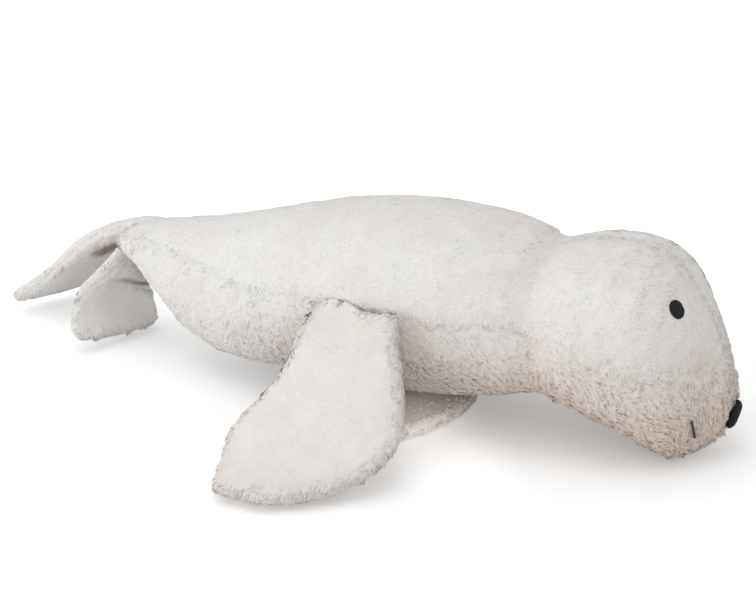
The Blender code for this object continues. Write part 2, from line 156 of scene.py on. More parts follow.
def hashed(cells: np.ndarray, seed: int) -> np.ndarray:
    """Return a number from 0 to 1 for each whole-numbered cell.

    Args:
        cells: Rows of three whole numbers.
        seed: Which of many sets of numbers to give.

    Returns:
        One number for each row.
    """
    mask = 0xFFFFFFFF
    mixed = (cells[..., 0] * 73856093) ^ (cells[..., 1] * 19349663) ^ (cells[..., 2] * 83492791)
    mixed = (mixed ^ (seed * 374761393)) & mask
    mixed = ((mixed ^ (mixed >> 15)) * 2246822519) & mask
    mixed = ((mixed ^ (mixed >> 13)) * 3266489917) & mask
    return ((mixed ^ (mixed >> 16)) & 0xFFFFFF) / 0xFFFFFF


def soft_noise(points: np.ndarray, size: float, seed: int) -> np.ndarray:
    """Return smooth noise from about -1 to 1.

    Args:
        points: Places, as rows.
        size: The size of its bumps, in metres.
        seed: Which noise.

    Returns:
        One number for each point.
    """
    scaled = points / size + NOISE_ORIGIN
    cell = np.floor(scaled).astype(np.int64)
    part = scaled - cell
    eased = part**3 * (part * (part * 6 - 15) + 10)
    total = np.zeros(len(points))
    for corner in np.ndindex(2, 2, 2):
        at = cell + corner
        away = part - corner
        pull = np.stack([hashed(at, seed + k) * 2 - 1 for k in range(3)], axis=-1)
        weight = np.ones(len(points))
        for axis in range(3):
            weight *= eased[:, axis] if corner[axis] else 1 - eased[:, axis]
        total += weight * (pull * away).sum(axis=1)
    return total * NOISE_GAIN


def wandering(points: np.ndarray, size: float, reach: float, seed: int) -> np.ndarray:
    """Return the points moved by a soft noise, so that what is laid on them curls."""
    moved = [soft_noise(points, size, seed + 11 * axis) for axis in range(3)]
    return points + np.stack(moved, axis=-1) * reach


@dataclass(frozen=True)
class Clumps:
    """Cells that gather the locks of pile: long cells along the lay, whose locks lean together."""

    length: float = 10 * MM
    width: float = 5.0 * MM
    curl: float = 1.8 * MM
    curl_widths: float = 2.6
    scatter: tuple[float, float] = (0.08, 0.84)
    gap_width: float = 0.30
    beside: tuple[float, float, float] = (0.31, 0.90, 0.30)
    seed: int = 5

    def gathered(self, points: np.ndarray, lay: np.ndarray) -> tuple[np.ndarray, np.ndarray, np.ndarray]:
        """Find each point's clump.

        Args:
            points: Places on the form, as rows.
            lay: The direction in which the pile runs.

        Returns:
            The way from each point to its clump's middle line, how near a gap between clumps it is from
            0 to 1, and its clump's own number from 0 to 1.
        """
        aside = np.cross(lay, self.beside)
        aside /= np.linalg.norm(aside)
        third = np.cross(lay, aside)
        curled = wandering(points, self.curl_widths * self.width, self.curl, self.seed)
        sides = ((lay, self.length), (aside, self.width), (third, self.width))
        local = np.stack([curled @ side / size for side, size in sides], -1) + CELL_ORIGIN
        cell = np.floor(local).astype(np.int64)
        first, spread = self.scatter
        best = np.full(len(points), FARTHEST)
        second = np.full(len(points), FARTHEST)
        offset = np.zeros((len(points), 3))
        own = np.zeros(len(points))
        for step in np.ndindex(3, 3, 3):
            at = cell + np.array(step) - 1
            middle = at + np.stack([hashed(at, self.seed + 3 + k) * spread + first for k in range(3)], -1)
            away = local - middle
            distance = (away * away).sum(axis=1)
            nearer = distance < best
            second = np.where(nearer, best, np.minimum(second, distance))
            best = np.where(nearer, distance, best)
            offset = np.where(nearer[:, None], away, offset)
            own = np.where(nearer, hashed(at, self.seed + 9), own)
        gap = 1 - smoothstep(0.0, self.gap_width, np.sqrt(second) - np.sqrt(best))
        inward = -self.width * (offset[:, 1:2] * aside + offset[:, 2:3] * third)
        return inward, gap, own


class LockShape:
    """One straight lock of pile, one unit long and wide, with its root at the origin and its tip along +X."""

    RADIUS = 0.58
    FLATTENED = (1, 0.80, 0.62)
    SEGMENTS = ((0.46, 1.15), (0.54, 0.05))

    def __init__(self) -> None:
        """Model the lock: a flattened three-sided strand that narrows to its tip."""
        bpy.ops.object.select_all(action="DESELECT")
        upright = (0, math.pi / 2, 0)
        bpy.ops.mesh.primitive_circle_add(vertices=3, radius=self.RADIUS, fill_type="NGON", rotation=upright)
        strand = bpy.context.view_layer.objects.active
        bpy.ops.object.transform_apply(location=True, rotation=True, scale=True)
        bpy.ops.object.mode_set(mode="EDIT")
        bpy.ops.mesh.select_all(action="SELECT")
        bpy.ops.transform.resize(value=self.FLATTENED)
        for reach, size in self.SEGMENTS:
            bpy.ops.mesh.extrude_region_move(TRANSFORM_OT_translate={"value": (reach, 0, 0)})
            bpy.ops.transform.resize(value=(1, size, size))
        bpy.ops.mesh.merge(type="CENTER")
        bpy.ops.object.mode_set(mode="OBJECT")
        mesh = strand.data
        self.points = coordinates(mesh)
        self.corners = np.array([corner for face in mesh.polygons for corner in face.vertices])
        self.sizes = np.array([len(face.vertices) for face in mesh.polygons])
        bpy.data.objects.remove(strand)
        bpy.data.meshes.remove(mesh)


# ---- finishes


def add_node(
    tree: bpy.types.NodeTree, kind: str, inputs: dict[str | int, object] | None = None, **settings: object
) -> bpy.types.Node:
    """Add a node to a tree.

    Args:
        tree: The tree.
        kind: Blender's name for the type of node.
        inputs: The values of its sockets, by their names or numbers.
        **settings: Its own settings, made before its sockets get their values.

    Returns:
        The node.
    """
    node = tree.nodes.new(kind)
    for name, value in settings.items():
        setattr(node, name, value)
    for socket, value in (inputs or {}).items():
        node.inputs[socket].default_value = value
    return node


def link(tree: bpy.types.NodeTree, *pairs: tuple[bpy.types.NodeSocket, bpy.types.NodeSocket]) -> None:
    """Link each pair of sockets, an output to an input."""
    for start, end in pairs:
        tree.links.new(start, end)


def new_material(name: str) -> tuple[bpy.types.Material, bpy.types.Node]:
    """Return a new material and its Principled shader."""
    material = bpy.data.materials.new(name)
    material.use_nodes = True
    return material, material.node_tree.nodes["Principled BSDF"]


def add_bump(
    material: bpy.types.Material, height: bpy.types.NodeSocket, strength: float, distance: float
) -> None:
    """Feed a height to the material's shader as a bump."""
    tree = material.node_tree
    bump = add_node(tree, "ShaderNodeBump", {"Strength": strength, "Distance": distance})
    shader = tree.nodes["Principled BSDF"]
    link(tree, (height, bump.inputs["Height"]), (bump.outputs["Normal"], shader.inputs["Normal"]))


class FibreGroup:
    """The shader node group for fine fibres, which every textile here shares."""

    NAME = "fine_fibre"
    STRETCH = (0.55, 1.0, 1.0)

    @classmethod
    def tree(cls) -> bpy.types.NodeTree:
        """Return the node group, built on its first use.

        Returns:
            A group with the input Scale, in repeats for each metre, and the output Fibre, from 0 to 1.
        """
        if cls.NAME in bpy.data.node_groups:
            return bpy.data.node_groups[cls.NAME]
        tree = bpy.data.node_groups.new(cls.NAME, "ShaderNodeTree")
        tree.interface.new_socket("Scale", in_out="INPUT", socket_type="NodeSocketFloat")
        tree.interface.new_socket("Fibre", in_out="OUTPUT", socket_type="NodeSocketFloat")
        inputs, outputs = add_node(tree, "NodeGroupInput"), add_node(tree, "NodeGroupOutput")
        place = add_node(tree, "ShaderNodeTexCoord")
        stretch = add_node(tree, "ShaderNodeMapping", {"Scale": cls.STRETCH})
        fibre = add_node(tree, "ShaderNodeTexNoise", {"Detail": 3.0, "Distortion": 1.4})
        link(
            tree,
            (place.outputs["Object"], stretch.inputs["Vector"]),
            (stretch.outputs["Vector"], fibre.inputs["Vector"]),
            (inputs.outputs["Scale"], fibre.inputs["Scale"]),
            (fibre.outputs["Fac"], outputs.inputs["Fibre"]),
        )
        return tree

    @classmethod
    def placed(cls, tree: bpy.types.NodeTree, scale: float) -> bpy.types.NodeSocket:
        """Place the group in a material's tree, with its scale, and return its output."""
        return add_node(tree, "ShaderNodeGroup", {"Scale": scale}, node_tree=cls.tree()).outputs["Fibre"]


@dataclass(frozen=True)
class PileFabric:
    """Off-white curly pile: cool white tips, a warm blush in random patches and as painted warm shade low
    down, and painted brown-grey shade at the roots and in hollows.
    """

    tip: tuple[float, float, float] = (0.860, 0.858, 0.845)
    # Warm tint: in random patches, and as painted warm shade where the stored warmth is high.
    blush: tuple[float, float, float] = (0.825, 0.725, 0.655)
    # The colour of painted brown-grey shade at the lock roots and in gaps, seams, hollows and folds.
    root: tuple[float, float, float] = (0.300, 0.215, 0.165)
    patch_scale: float = 26.0
    patch_blush: float = 0.30
    fibre_scale: float = 950.0
    fleck_range: tuple[float, float] = (0.93, 1.04)
    roughness: float = 0.96
    relief: tuple[float, float] = (0.55, 1.2 * MM)
    name: str = "curly_pile"
    slot: str = "pile_fabric"

    def material(self) -> bpy.types.Material:
        """Return the material, built once."""
        if self.name in bpy.data.materials:
            return bpy.data.materials[self.name]
        made, shader = new_material(self.name)
        tree = made.node_tree
        dark, light = self.fleck_range
        place = add_node(tree, "ShaderNodeTexCoord")
        patches = add_node(
            tree, "ShaderNodeTexNoise", {"Scale": self.patch_scale, "Detail": 3.0, "Roughness": 0.6}
        )
        patch_share = add_node(tree, "ShaderNodeMapRange", {"From Min": 0.40, "From Max": 0.68})
        stored = ("warmth_and_shade", "tone", "pile_depth")
        warmth_and_shade, tone, depth = (add_node(tree, "ShaderNodeAttribute", attribute_name=name) for name in stored)
        warm_share = add_node(
            tree, "ShaderNodeMath", {1: self.patch_blush}, operation="MULTIPLY_ADD", use_clamp=True
        )
        ends = {"A": (*self.tip, 1), "B": (*self.blush, 1)}
        toned = add_node(tree, "ShaderNodeMix", ends, data_type="RGBA")
        fibre = FibreGroup.placed(tree, self.fibre_scale)
        flecks = {"From Min": 0.30, "From Max": 0.70, "To Min": dark, "To Max": light}
        fine = add_node(tree, "ShaderNodeMapRange", flecks)
        both = add_node(tree, "ShaderNodeMath", operation="MULTIPLY")
        flecked = add_node(tree, "ShaderNodeVectorMath", operation="SCALE")
        # Mix in the painted shade colour by the stored painted shade.
        shaded = add_node(tree, "ShaderNodeMix", {"B": (*self.root, 1)}, data_type="RGBA")
        link(
            tree,
            (place.outputs["Object"], patches.inputs["Vector"]),
            (patches.outputs["Fac"], patch_share.inputs["Value"]),
            (patch_share.outputs["Result"], warm_share.inputs[0]),
            (warmth_and_shade.outputs["Fac"], warm_share.inputs[2]),
            (warm_share.outputs["Value"], toned.inputs["Factor"]),
            (fibre, fine.inputs["Value"]),
            (fine.outputs["Result"], both.inputs[0]),
            (tone.outputs["Fac"], both.inputs[1]),
            (toned.outputs["Result"], flecked.inputs["Vector"]),
            (both.outputs["Value"], flecked.inputs["Scale"]),
            (flecked.outputs["Vector"], shaded.inputs["A"]),
            (depth.outputs["Fac"], shaded.inputs["Factor"]),
            (shaded.outputs["Result"], shader.inputs["Base Color"]),
        )
        shader.inputs["Roughness"].default_value = self.roughness
        shader.inputs["Specular IOR Level"].default_value = 0.0
        add_bump(made, fibre, *self.relief)
        return made


@dataclass(frozen=True)
class DarkTextile:
    """A dark textile of one colour, whose fine fibres stand a little and are lighter."""

    name: str
    slot: str
    colour: tuple[float, float, float]
    lighter: float
    fibre_scale: float
    roughness: float
    specular: float
    relief: tuple[float, float]

    def material(self) -> bpy.types.Material:
        """Return the material, built once."""
        if self.name in bpy.data.materials:
            return bpy.data.materials[self.name]
        made, shader = new_material(self.name)
        tree = made.node_tree
        fibre = FibreGroup.placed(tree, self.fibre_scale)
        ends = {"A": (*self.colour, 1), "B": (*(self.lighter * part for part in self.colour), 1)}
        toned = add_node(tree, "ShaderNodeMix", ends, data_type="RGBA")
        link(tree, (fibre, toned.inputs["Factor"]), (toned.outputs["Result"], shader.inputs["Base Color"]))
        shader.inputs["Roughness"].default_value = self.roughness
        shader.inputs["Specular IOR Level"].default_value = self.specular
        add_bump(made, fibre, *self.relief)
        return made


PILE_FABRIC = PileFabric()
BLACK_FELT = DarkTextile(
    name="dull_black_felt",
    slot="black_felt",
    colour=(0.006, 0.006, 0.006),
    lighter=3.2,
    fibre_scale=2400.0,
    roughness=0.85,
    specular=0.25,
    relief=(0.6, 0.5 * MM),
)
MOUTH_THREAD = DarkTextile(
    name="brown_thread",
    slot="mouth_thread",
    colour=(0.040, 0.027, 0.022),
    lighter=2.4,
    fibre_scale=5200.0,
    roughness=0.75,
    specular=0.5,
    relief=(0.5, 0.2 * MM),
)


# ---- stuffed forms

CLOTH = {
    "quality": 5,
    "mass": 0.3,
    "tension_stiffness": 12,
    "compression_stiffness": 12,
    "shear_stiffness": 5,
    "bending_stiffness": 0.4,
}


@dataclass
class Seams:
    """Points 1 mm apart along the seams where a form's skins meet, each with how deep its seam draws in."""

    skin: tuple[str, ...]
    nodes: dict[str, bpy.types.Object]
    depths: dict[frozenset[str], float]
    reach: float = 0.9 * MM
    spacing: float = 1 * MM
    tree: KDTree = field(init=False, default=None)
    places: np.ndarray = field(init=False, default=None)
    strength: np.ndarray = field(init=False, default=None)

    def __post_init__(self) -> None:
        """Find the seams."""
        surfaces = {node: surface_tree(self.nodes[node].data) for node in self.skin}
        found = {}
        for node, other in itertools.permutations(self.skin, 2):
            mesh = self.nodes[node].data
            beside = [surfaces[other].find_nearest(v.co, self.reach)[0] is not None for v in mesh.vertices]
            depth = self.depths.get(frozenset((node, other)), 1.0)
            for edge in mesh.edges:
                a, b = edge.vertices
                if beside[a] and beside[b]:
                    low, high = mesh.vertices[a].co, mesh.vertices[b].co
                    steps = max(int((high - low).length / self.spacing), 1)
                    for k in range(steps + 1):
                        point = low.lerp(high, k / steps)
                        found[tuple(round(c / (0.5 * self.spacing)) for c in point)] = (point, depth)
        self.tree = KDTree(len(found))
        for k, (point, _) in enumerate(found.values()):
            self.tree.insert(point, k)
        self.tree.balance()
        self.places = np.array([point for point, _ in found.values()])
        self.strength = np.array([depth for _, depth in found.values()])

    def measured(self, points: np.ndarray, normals: np.ndarray) -> tuple[np.ndarray, np.ndarray]:
        """Measure how far the points are from the nearest seam.

        Args:
            points: Places on the form.
            normals: The directions outwards there.

        Returns:
            The distance along the surface, and how deep that seam draws in, from 0 to 1.
        """
        index = np.array([self.tree.find(point)[1] for point in points])
        away = points - self.places[index]
        straight = (away * normals).sum(axis=1)
        return np.sqrt(np.maximum((away * away).sum(axis=1) - straight**2, 0.0)), self.strength[index]


@dataclass
class Roots:
    """Where locks of pile grow, with a row for each lock.

    Attributes:
        places: The places on the cover.
        normals: The directions outwards there.
        parted: How far the pile has parted there.
        away: The distance from the nearest seam.
        warm: How warm the white is, from its own tint and from painted warm shade.
    """

    places: np.ndarray
    normals: np.ndarray
    parted: np.ndarray
    away: np.ndarray
    warm: np.ndarray

    def only(self, mask: np.ndarray) -> "Roots":
        """Return the roots that the mask keeps."""
        return Roots(*(values[mask] for values in vars(self).values()))


@dataclass(frozen=True)
class PileStyle:
    """How the locks stand: each pair has a value for closed pile, and what parting adds to it."""

    length: tuple[float, float] = (0.90, 0.25)
    width: tuple[float, float] = (1.10, -0.38)
    lift: tuple[float, float] = (0.06, 0.27)
    thickness: tuple[float, float] = (0.26, 0.52)
    bend: tuple[float, float] = (0.18, 0.22)
    calm: tuple[float, float] = (0.93, -0.27)
    # Painted shade towards each lock's root, for closed and parted pile.
    root_shade: tuple[float, float] = (0.02, 0.26)
    stray: tuple[float, float] = (0.25, 0.45)
    swirls: tuple[tuple[float, float], ...] = ((26 * MM, 0.75), (8 * MM, 0.80))
    curve: tuple[float, float] = (1.5, 1.1)
    sunk: float = 0.35 * MM
    seam_length: float = 0.62
    seam_reach: float = 4 * MM
    gathering: float = 0.9
    least_dot: float = 0.55
    most_turned: float = 1.6
    root_fade: float = 1.4
    # Painted shade of the locks in the gaps between clumps, and the share of the form's painted shade in
    # hollows and folds that the locks take.
    gap_shade: float = 0.10
    hollow_share: float = 0.8
    tone_spread: float = 0.016
    clump_tone: float = 0.04
    floor_gap: float = 0.2 * MM
    spare_lay: tuple[float, float, float] = (0.2, 0.9, 0.3)

    @staticmethod
    def at(pair: tuple[float, float], parted: np.ndarray) -> np.ndarray:
        """Return a pair's value for pile that has parted this far."""
        return pair[0] + pair[1] * parted


@dataclass
class StuffedForm:
    """One stuffed form: its skin's CAD nodes as one closed cover, swelled, refined and given its pile."""

    name: str
    skin: tuple[str, ...]
    filling: str
    lay: Lay
    fill: float = 0.6
    voxel: float = 4.4 * MM
    start_offset: float = -1.0 * MM
    smoothing: int = 4
    most_regained: float = 2.5 * MM
    pressure: float = 4.0
    swell_frames: int = 20
    most_swell: float = 3.5 * MM
    held_strength: float = 0.3
    groove: float = 1.4 * MM
    groove_width: float = 2.6 * MM
    filling_bumps: tuple[float, float] = (0.55 * MM, 22 * MM)
    small_bumps: tuple[float, float] = (0.30 * MM, 9 * MM)
    clump_relief: float = 1.2 * MM
    floor_gap: float = 0.5 * MM
    lock_length: float = 5.6 * MM
    lock_width: float = 1.9 * MM
    locks_in_four: tuple[float, float] = (2.6, 3.8)
    least_height: float = 0.6 * MM
    least_height_below: float = 2.5 * MM
    least_root_share: float = 0.30
    speck_gap: float = 0.60
    speck_own: float = 0.70
    style: PileStyle = PileStyle()
    seed: int = 5
    seam_depths: dict[frozenset[str], float] = field(default_factory=dict)
    # Painted shade: in the seams' grooves, in the dark specks between parted clumps, and in the gaps between
    # clumps.
    seam_shade: float = 0.16
    speck_shade: float = 0.36
    cover_shades: tuple[float, float, float] = (0.03, 0.10, 0.30)
    cover_tone: float = 0.98
    mottles: tuple[tuple[float, float], ...] = ((20 * MM, 0.020), (6 * MM, 0.024))
    raised_normal: tuple[float, float, float] = (0, -0.12, 0.28)
    line_shade: float = 0.0
    line_inset: float = 7 * MM
    line_width: float = 1.1 * MM
    bare: tuple[tuple[Vector, float], ...] = ()
    nodes: dict[str, bpy.types.Object] = field(init=False, default=None)
    lock: LockShape = field(init=False, default=None)
    cover: bpy.types.Object = field(init=False, default=None)

    def build(self, nodes: dict[str, bpy.types.Object], lock: LockShape) -> bpy.types.Object:
        """Make the form and its pile.

        Args:
            nodes: The CAD nodes by name.
            lock: The shape of one lock.

        Returns:
            The finished cover.
        """
        self.nodes, self.lock = nodes, lock
        self.gather()
        seams = Seams(self.skin, nodes, self.seam_depths)
        self.swell(seams)
        self.ease()
        apply_modifier(self.cover, "SUBSURF", levels=1, render_levels=1)
        self.mould(seams)
        self.declare()
        self.grow()
        return self.cover

    def gather(self) -> None:
        """Copy the form's nodes, join them and remesh them as one cover."""
        copies = []
        for node in (*self.skin, self.filling):
            copy = bpy.data.objects.new(f"{self.name}_{node}", self.nodes[node].data.copy())
            bpy.context.scene.collection.objects.link(copy)
            copies.append(copy)
        select_only(copies[0])
        for copy in copies[1:]:
            copy.select_set(True)
        bpy.ops.object.join()
        self.cover = bpy.context.view_layer.objects.active
        self.cover.name = self.name
        self.cover.data.name = self.name
        self.cover.data.materials.clear()
        apply_modifier(self.cover, "REMESH", mode="VOXEL", voxel_size=self.voxel)
        self.keep_outer_shell()
        mesh = self.cover.data
        tree = surface_tree(mesh)
        apply_modifier(self.cover, "SMOOTH", factor=0.5, iterations=self.smoothing)
        after, normals = coordinates(mesh), vertex_normals(mesh)
        places = [tree.find_nearest(Vector(point))[0] - Vector(point) for point in after]
        lost = np.array([way.dot(Vector(normal)) for way, normal in zip(places, normals)])
        set_coordinates(mesh, after + normals * np.clip(lost, 0.0, self.most_regained)[:, None])
        apply_modifier(self.cover, "SMOOTH", factor=0.4, iterations=1)

    def keep_outer_shell(self) -> None:
        """Delete what the remesh left inside the cover."""
        work = bmesh.new()
        work.from_mesh(self.cover.data)
        unseen = set(work.verts)
        shells = []
        while unseen:
            shell, edge = set(), {unseen.pop()}
            while edge:
                shell |= edge
                edge = {e.other_vert(v) for v in edge for e in v.link_edges} & unseen
                unseen -= edge
            shells.append(shell)
        largest = max(shells, key=len)
        bmesh.ops.delete(work, geom=[v for v in work.verts if v not in largest], context="VERTS")
        work.to_mesh(self.cover.data)
        work.free()

    def swell(self, seams: Seams) -> None:
        """Hold the cover's seams, and let pressure fill it out between them.

        Args:
            seams: The form's seams.
        """
        mesh = self.cover.data
        start, normals = coordinates(mesh), vertex_normals(mesh)
        away, strength = seams.measured(start, normals)
        drawn = start + normals * self.start_offset
        set_coordinates(mesh, drawn)
        held = self.cover.vertex_groups.new(name="seam")
        for index in np.nonzero((away < self.voxel * 0.6) & (strength > self.held_strength))[0]:
            held.add([int(index)], 1.0, "REPLACE")
        scene = bpy.context.scene
        scene.frame_set(1)
        cloth = self.cover.modifiers.new("filling", "CLOTH")
        for name, value in CLOTH.items():
            setattr(cloth.settings, name, value)
        cloth.settings.use_pressure = True
        cloth.settings.uniform_pressure_force = self.pressure
        cloth.settings.effector_weights.gravity = 0
        cloth.settings.vertex_group_mass = "seam"
        cloth.collision_settings.use_collision = False
        cloth.point_cache.frame_start, cloth.point_cache.frame_end = 1, self.swell_frames
        for frame in range(1, self.swell_frames + 1):
            scene.frame_set(frame)
        select_only(self.cover)
        bpy.ops.object.modifier_apply(modifier=cloth.name)
        scene.frame_set(1)
        moved = coordinates(mesh) - drawn
        far = np.linalg.norm(moved, axis=1)
        moved *= np.minimum(1.0, self.most_swell / np.maximum(far, 1e-9))[:, None]
        LOG.info("%s swelled by %.1f mm at most, %.1f on average", self.name, far.max() / MM, far.mean() / MM)
        set_coordinates(mesh, drawn + moved)
        self.cover.vertex_groups.clear()

    def ease(self) -> None:
        """Settle the swelled cover where it meets its neighbours."""

    def soften(self, weights: np.ndarray, iterations: int) -> None:
        """Smooth part of the cover.

        Args:
            weights: How much to smooth at each point, from 0 to 1.
            iterations: How many times.
        """
        group = self.cover.vertex_groups.new(name="soften")
        for index in np.nonzero(weights > 0.02)[0]:
            group.add([int(index)], float(weights[index]), "REPLACE")
        apply_modifier(self.cover, "SMOOTH", factor=0.5, iterations=iterations, vertex_group="soften")
        self.cover.vertex_groups.clear()

    def parting(self, points: np.ndarray, away: np.ndarray) -> np.ndarray:
        """Return how far the pile has parted into clumps, from 0 to 1.

        Args:
            points: Places on the cover.
            away: The distance from the nearest seam.

        Returns:
            One number for each point.
        """
        raise NotImplementedError

    def warmth_and_shade(self, points: np.ndarray, normals: np.ndarray) -> np.ndarray:
        """Return how warm the pile's white is, from 0 to 1: a warmer front and random patches, and painted
        warm shade on faces that turn downwards.
        """
        front = smoothstep(-0.26, -0.04, points[:, 0])
        patches = 0.16 * soft_noise(points, 18 * MM, 79)
        underside_shade = 0.15 * smoothstep(-0.2, 0.7, -normals[:, 2])
        return np.clip(0.03 + front * (0.20 + patches + underside_shade), 0, 1)

    def folds(self, points: np.ndarray, normals: np.ndarray) -> np.ndarray:
        """Return how far the form's own dents and folds move each point outwards, in metres."""
        return np.zeros(len(points))

    def shade(self, points: np.ndarray, normals: np.ndarray) -> np.ndarray:
        """Return the painted shade in the form's own hollows and folds, from 0 to 1."""
        return np.zeros(len(points))

    def line(self, points: np.ndarray, away: np.ndarray) -> np.ndarray:
        """Return the painted shade of the broken line beside the rim's seam, from 0 to 1."""
        broken = smoothstep(-0.2, 0.5, soft_noise(points, 10 * MM, 61))
        return self.line_shade * broken * bell(away - self.line_inset, self.line_width)

    def mould(self, seams: Seams) -> None:
        """Press the seams and the unevenness of the filling into the refined cover, and store its painted
        shade, warmth, tone, parting and seam distance.

        Args:
            seams: The form's seams.
        """
        mesh = self.cover.data
        points, normals = coordinates(mesh), vertex_normals(mesh)
        away, strength = seams.measured(points, normals)
        parted = self.parting(points, away)
        _, gap, own = Clumps(seed=self.seed).gathered(points, self.direction())
        seam = strength * bell(away, self.groove_width)
        ragged = 0.7 + 0.5 * soft_noise(points, 9 * MM, self.seed + 300)
        (broad_height, broad_size), (small_height, small_size) = self.filling_bumps, self.small_bumps
        move = broad_height * soft_noise(points, broad_size, self.seed + 200)
        move += small_height * soft_noise(points, small_size, self.seed + 210) * (0.5 + parted)
        move -= self.clump_relief * gap * parted
        move -= seam * ragged * self.groove
        move += self.folds(points, normals)
        points = points + normals * move[:, None]
        points[:, 2] = np.maximum(points[:, 2], self.floor_gap)
        set_coordinates(mesh, points)
        # Painted shadow: dark specks in the gaps between parted clumps, where the lock tips cast shade.
        specks = smoothstep(0.45, 0.8, gap) * smoothstep(0.45, 0.75, own) * smoothstep(0.20, 0.45, parted)
        # Painted shade: darker in the gaps between clumps, in the specks, in the seams' grooves, in the
        # form's hollows and folds, and along the rim's line.
        closed, split, gaps = self.cover_shades
        shade = closed + parted * (split + gaps * gap) + self.speck_shade * specks
        shade += self.seam_shade * seam * ragged
        shade += self.shade(points, normals) + self.line(points, away)
        self.store(self.cover, "pile_depth", np.clip(shade, 0, 1))
        self.store(self.cover, "warmth_and_shade", self.warmth_and_shade(points, normals))
        self.store(self.cover, "tone", self.cover_tone + self.mottling(points))
        self.store(self.cover, "parting", parted)
        self.store(self.cover, "seam_distance", away / np.maximum(strength, 0.15))

    def mottling(self, points: np.ndarray) -> np.ndarray:
        """Return how much lighter or darker the white is in its soft cloudy patches."""
        front = 1 + 0.8 * smoothstep(0.0, 0.12, points[:, 0])
        mottles = enumerate(self.mottles, 401)
        return front * sum(share * soft_noise(points, size, seed) for seed, (size, share) in mottles)

    @staticmethod
    def store(piece: bpy.types.Object, name: str, values: np.ndarray) -> None:
        """Keep one number for each point as an attribute of the piece's mesh."""
        attribute = piece.data.attributes.new(name, "FLOAT", "POINT")
        attribute.data.foreach_set("value", values.astype(np.float32))

    def stored(self, name: str) -> np.ndarray:
        """Return an attribute of the cover as an array."""
        values = np.empty(len(self.cover.data.vertices), np.float32)
        self.cover.data.attributes[name].data.foreach_get("value", values)
        return values.astype(float)

    def direction(self) -> np.ndarray:
        """Return the direction of the pile, one unit long."""
        return np.array(Vector(self.lay.value).normalized())

    def declare(self) -> None:
        """Dress the cover, tie it to the root body, hide the CAD nodes that it takes the place of, and log
        its faces.
        """
        finish = PILE_FABRIC
        self.cover.data.materials.append(finish.material())
        self.cover.data.shade_smooth()
        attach(self.cover, "root")
        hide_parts(*self.skin, self.filling)
        LOG.info("%s: %d faces", self.name, len(self.cover.data.polygons))

    def sections(self, roots: np.ndarray) -> list[tuple[str, np.ndarray]]:
        """Share the locks among the pieces of pile, one for the whole form or one for each panel.

        Args:
            roots: Where the locks grow.

        Returns:
            Each piece's name, and which locks it has.
        """
        return [(f"{self.name}_pile", np.ones(len(roots), bool))]

    def grow(self) -> None:
        """Cover the form with locks of pile."""
        mesh = self.cover.data
        chance = np.random.default_rng(self.seed)
        corners = np.empty(len(mesh.polygons) * 4, np.int32)
        mesh.polygons.foreach_get("vertices", corners)
        corners = corners.reshape(-1, 4)
        groups = len(corners) // 4
        first = chance.integers(0, 4, groups)
        sparse, dense = self.locks_in_four
        wanted = sparse + (dense - sparse) * self.stored("parting")[corners[::4, 0]] - 2
        chosen = [4 * np.arange(groups) + first, 4 * np.arange(groups) + (first + 2) % 4]
        for turn in (1, 3):
            extra = np.nonzero(chance.random(groups) < wanted)[0]
            chosen.append(4 * extra + (first[extra] + turn) % 4)
            wanted = wanted - 1
        corners = corners[np.concatenate(chosen)]
        u, v = chance.random((2, len(corners), 1))
        weights = np.stack([(1 - u) * (1 - v), u * (1 - v), u * v, (1 - u) * v], axis=1)

        def mixed(values: np.ndarray) -> np.ndarray:
            """Mix the values at each chosen face's corners."""
            table = values.reshape(len(values), -1)[corners]
            out = (table * weights).sum(axis=1)
            return out if values.ndim > 1 else out[:, 0]

        stored = (mixed(self.stored(name)) for name in ("parting", "seam_distance", "warmth_and_shade"))
        roots = Roots(mixed(coordinates(mesh)), mixed(vertex_normals(mesh)), *stored)
        roots.normals /= np.linalg.norm(roots.normals, axis=1)[:, None]
        height, facing_down = roots.places[:, 2], roots.normals[:, 2] <= -0.3
        keep = (height > self.least_height) & ((height > self.least_height_below) | ~facing_down)
        if "root_share" in mesh.attributes:
            keep &= mixed(self.stored("root_share")) > self.least_root_share
        for place, radius in self.bare:
            keep &= np.linalg.norm(roots.places - np.array(place), axis=1) > radius
        _, gap, own = Clumps(seed=self.seed).gathered(roots.places, self.direction())
        # Leave the painted-shadow specks bare of locks, so that their dark cover shows there.
        keep &= ~((gap > self.speck_gap) & (own > self.speck_own) & (roots.parted > 0.3))
        roots = roots.only(keep)
        for name, mask in self.sections(roots.places):
            if mask.any():
                self.add_pile(name, chance, roots.only(mask))

    def add_pile(self, name: str, chance: np.random.Generator, roots: Roots) -> None:
        """Make one piece of pile: a lock at each root, curled and leaning with its clump.

        Args:
            name: The piece's name.
            chance: What gives the chance numbers.
            roots: Where the locks grow.
        """
        clumps = Clumps(seed=self.seed).gathered(roots.places, self.direction())
        along = self.turned_lay(chance, roots)
        piece = self.locks_object(name, self.lock_points(chance, roots, along, clumps))
        self.blend_normals(piece.data, roots)
        self.tint(piece, chance, roots, clumps)
        finish = PILE_FABRIC
        piece.data.materials.append(finish.material())
        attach(piece, "root")
        LOG.info("%s: %d locks", name, len(roots.places))

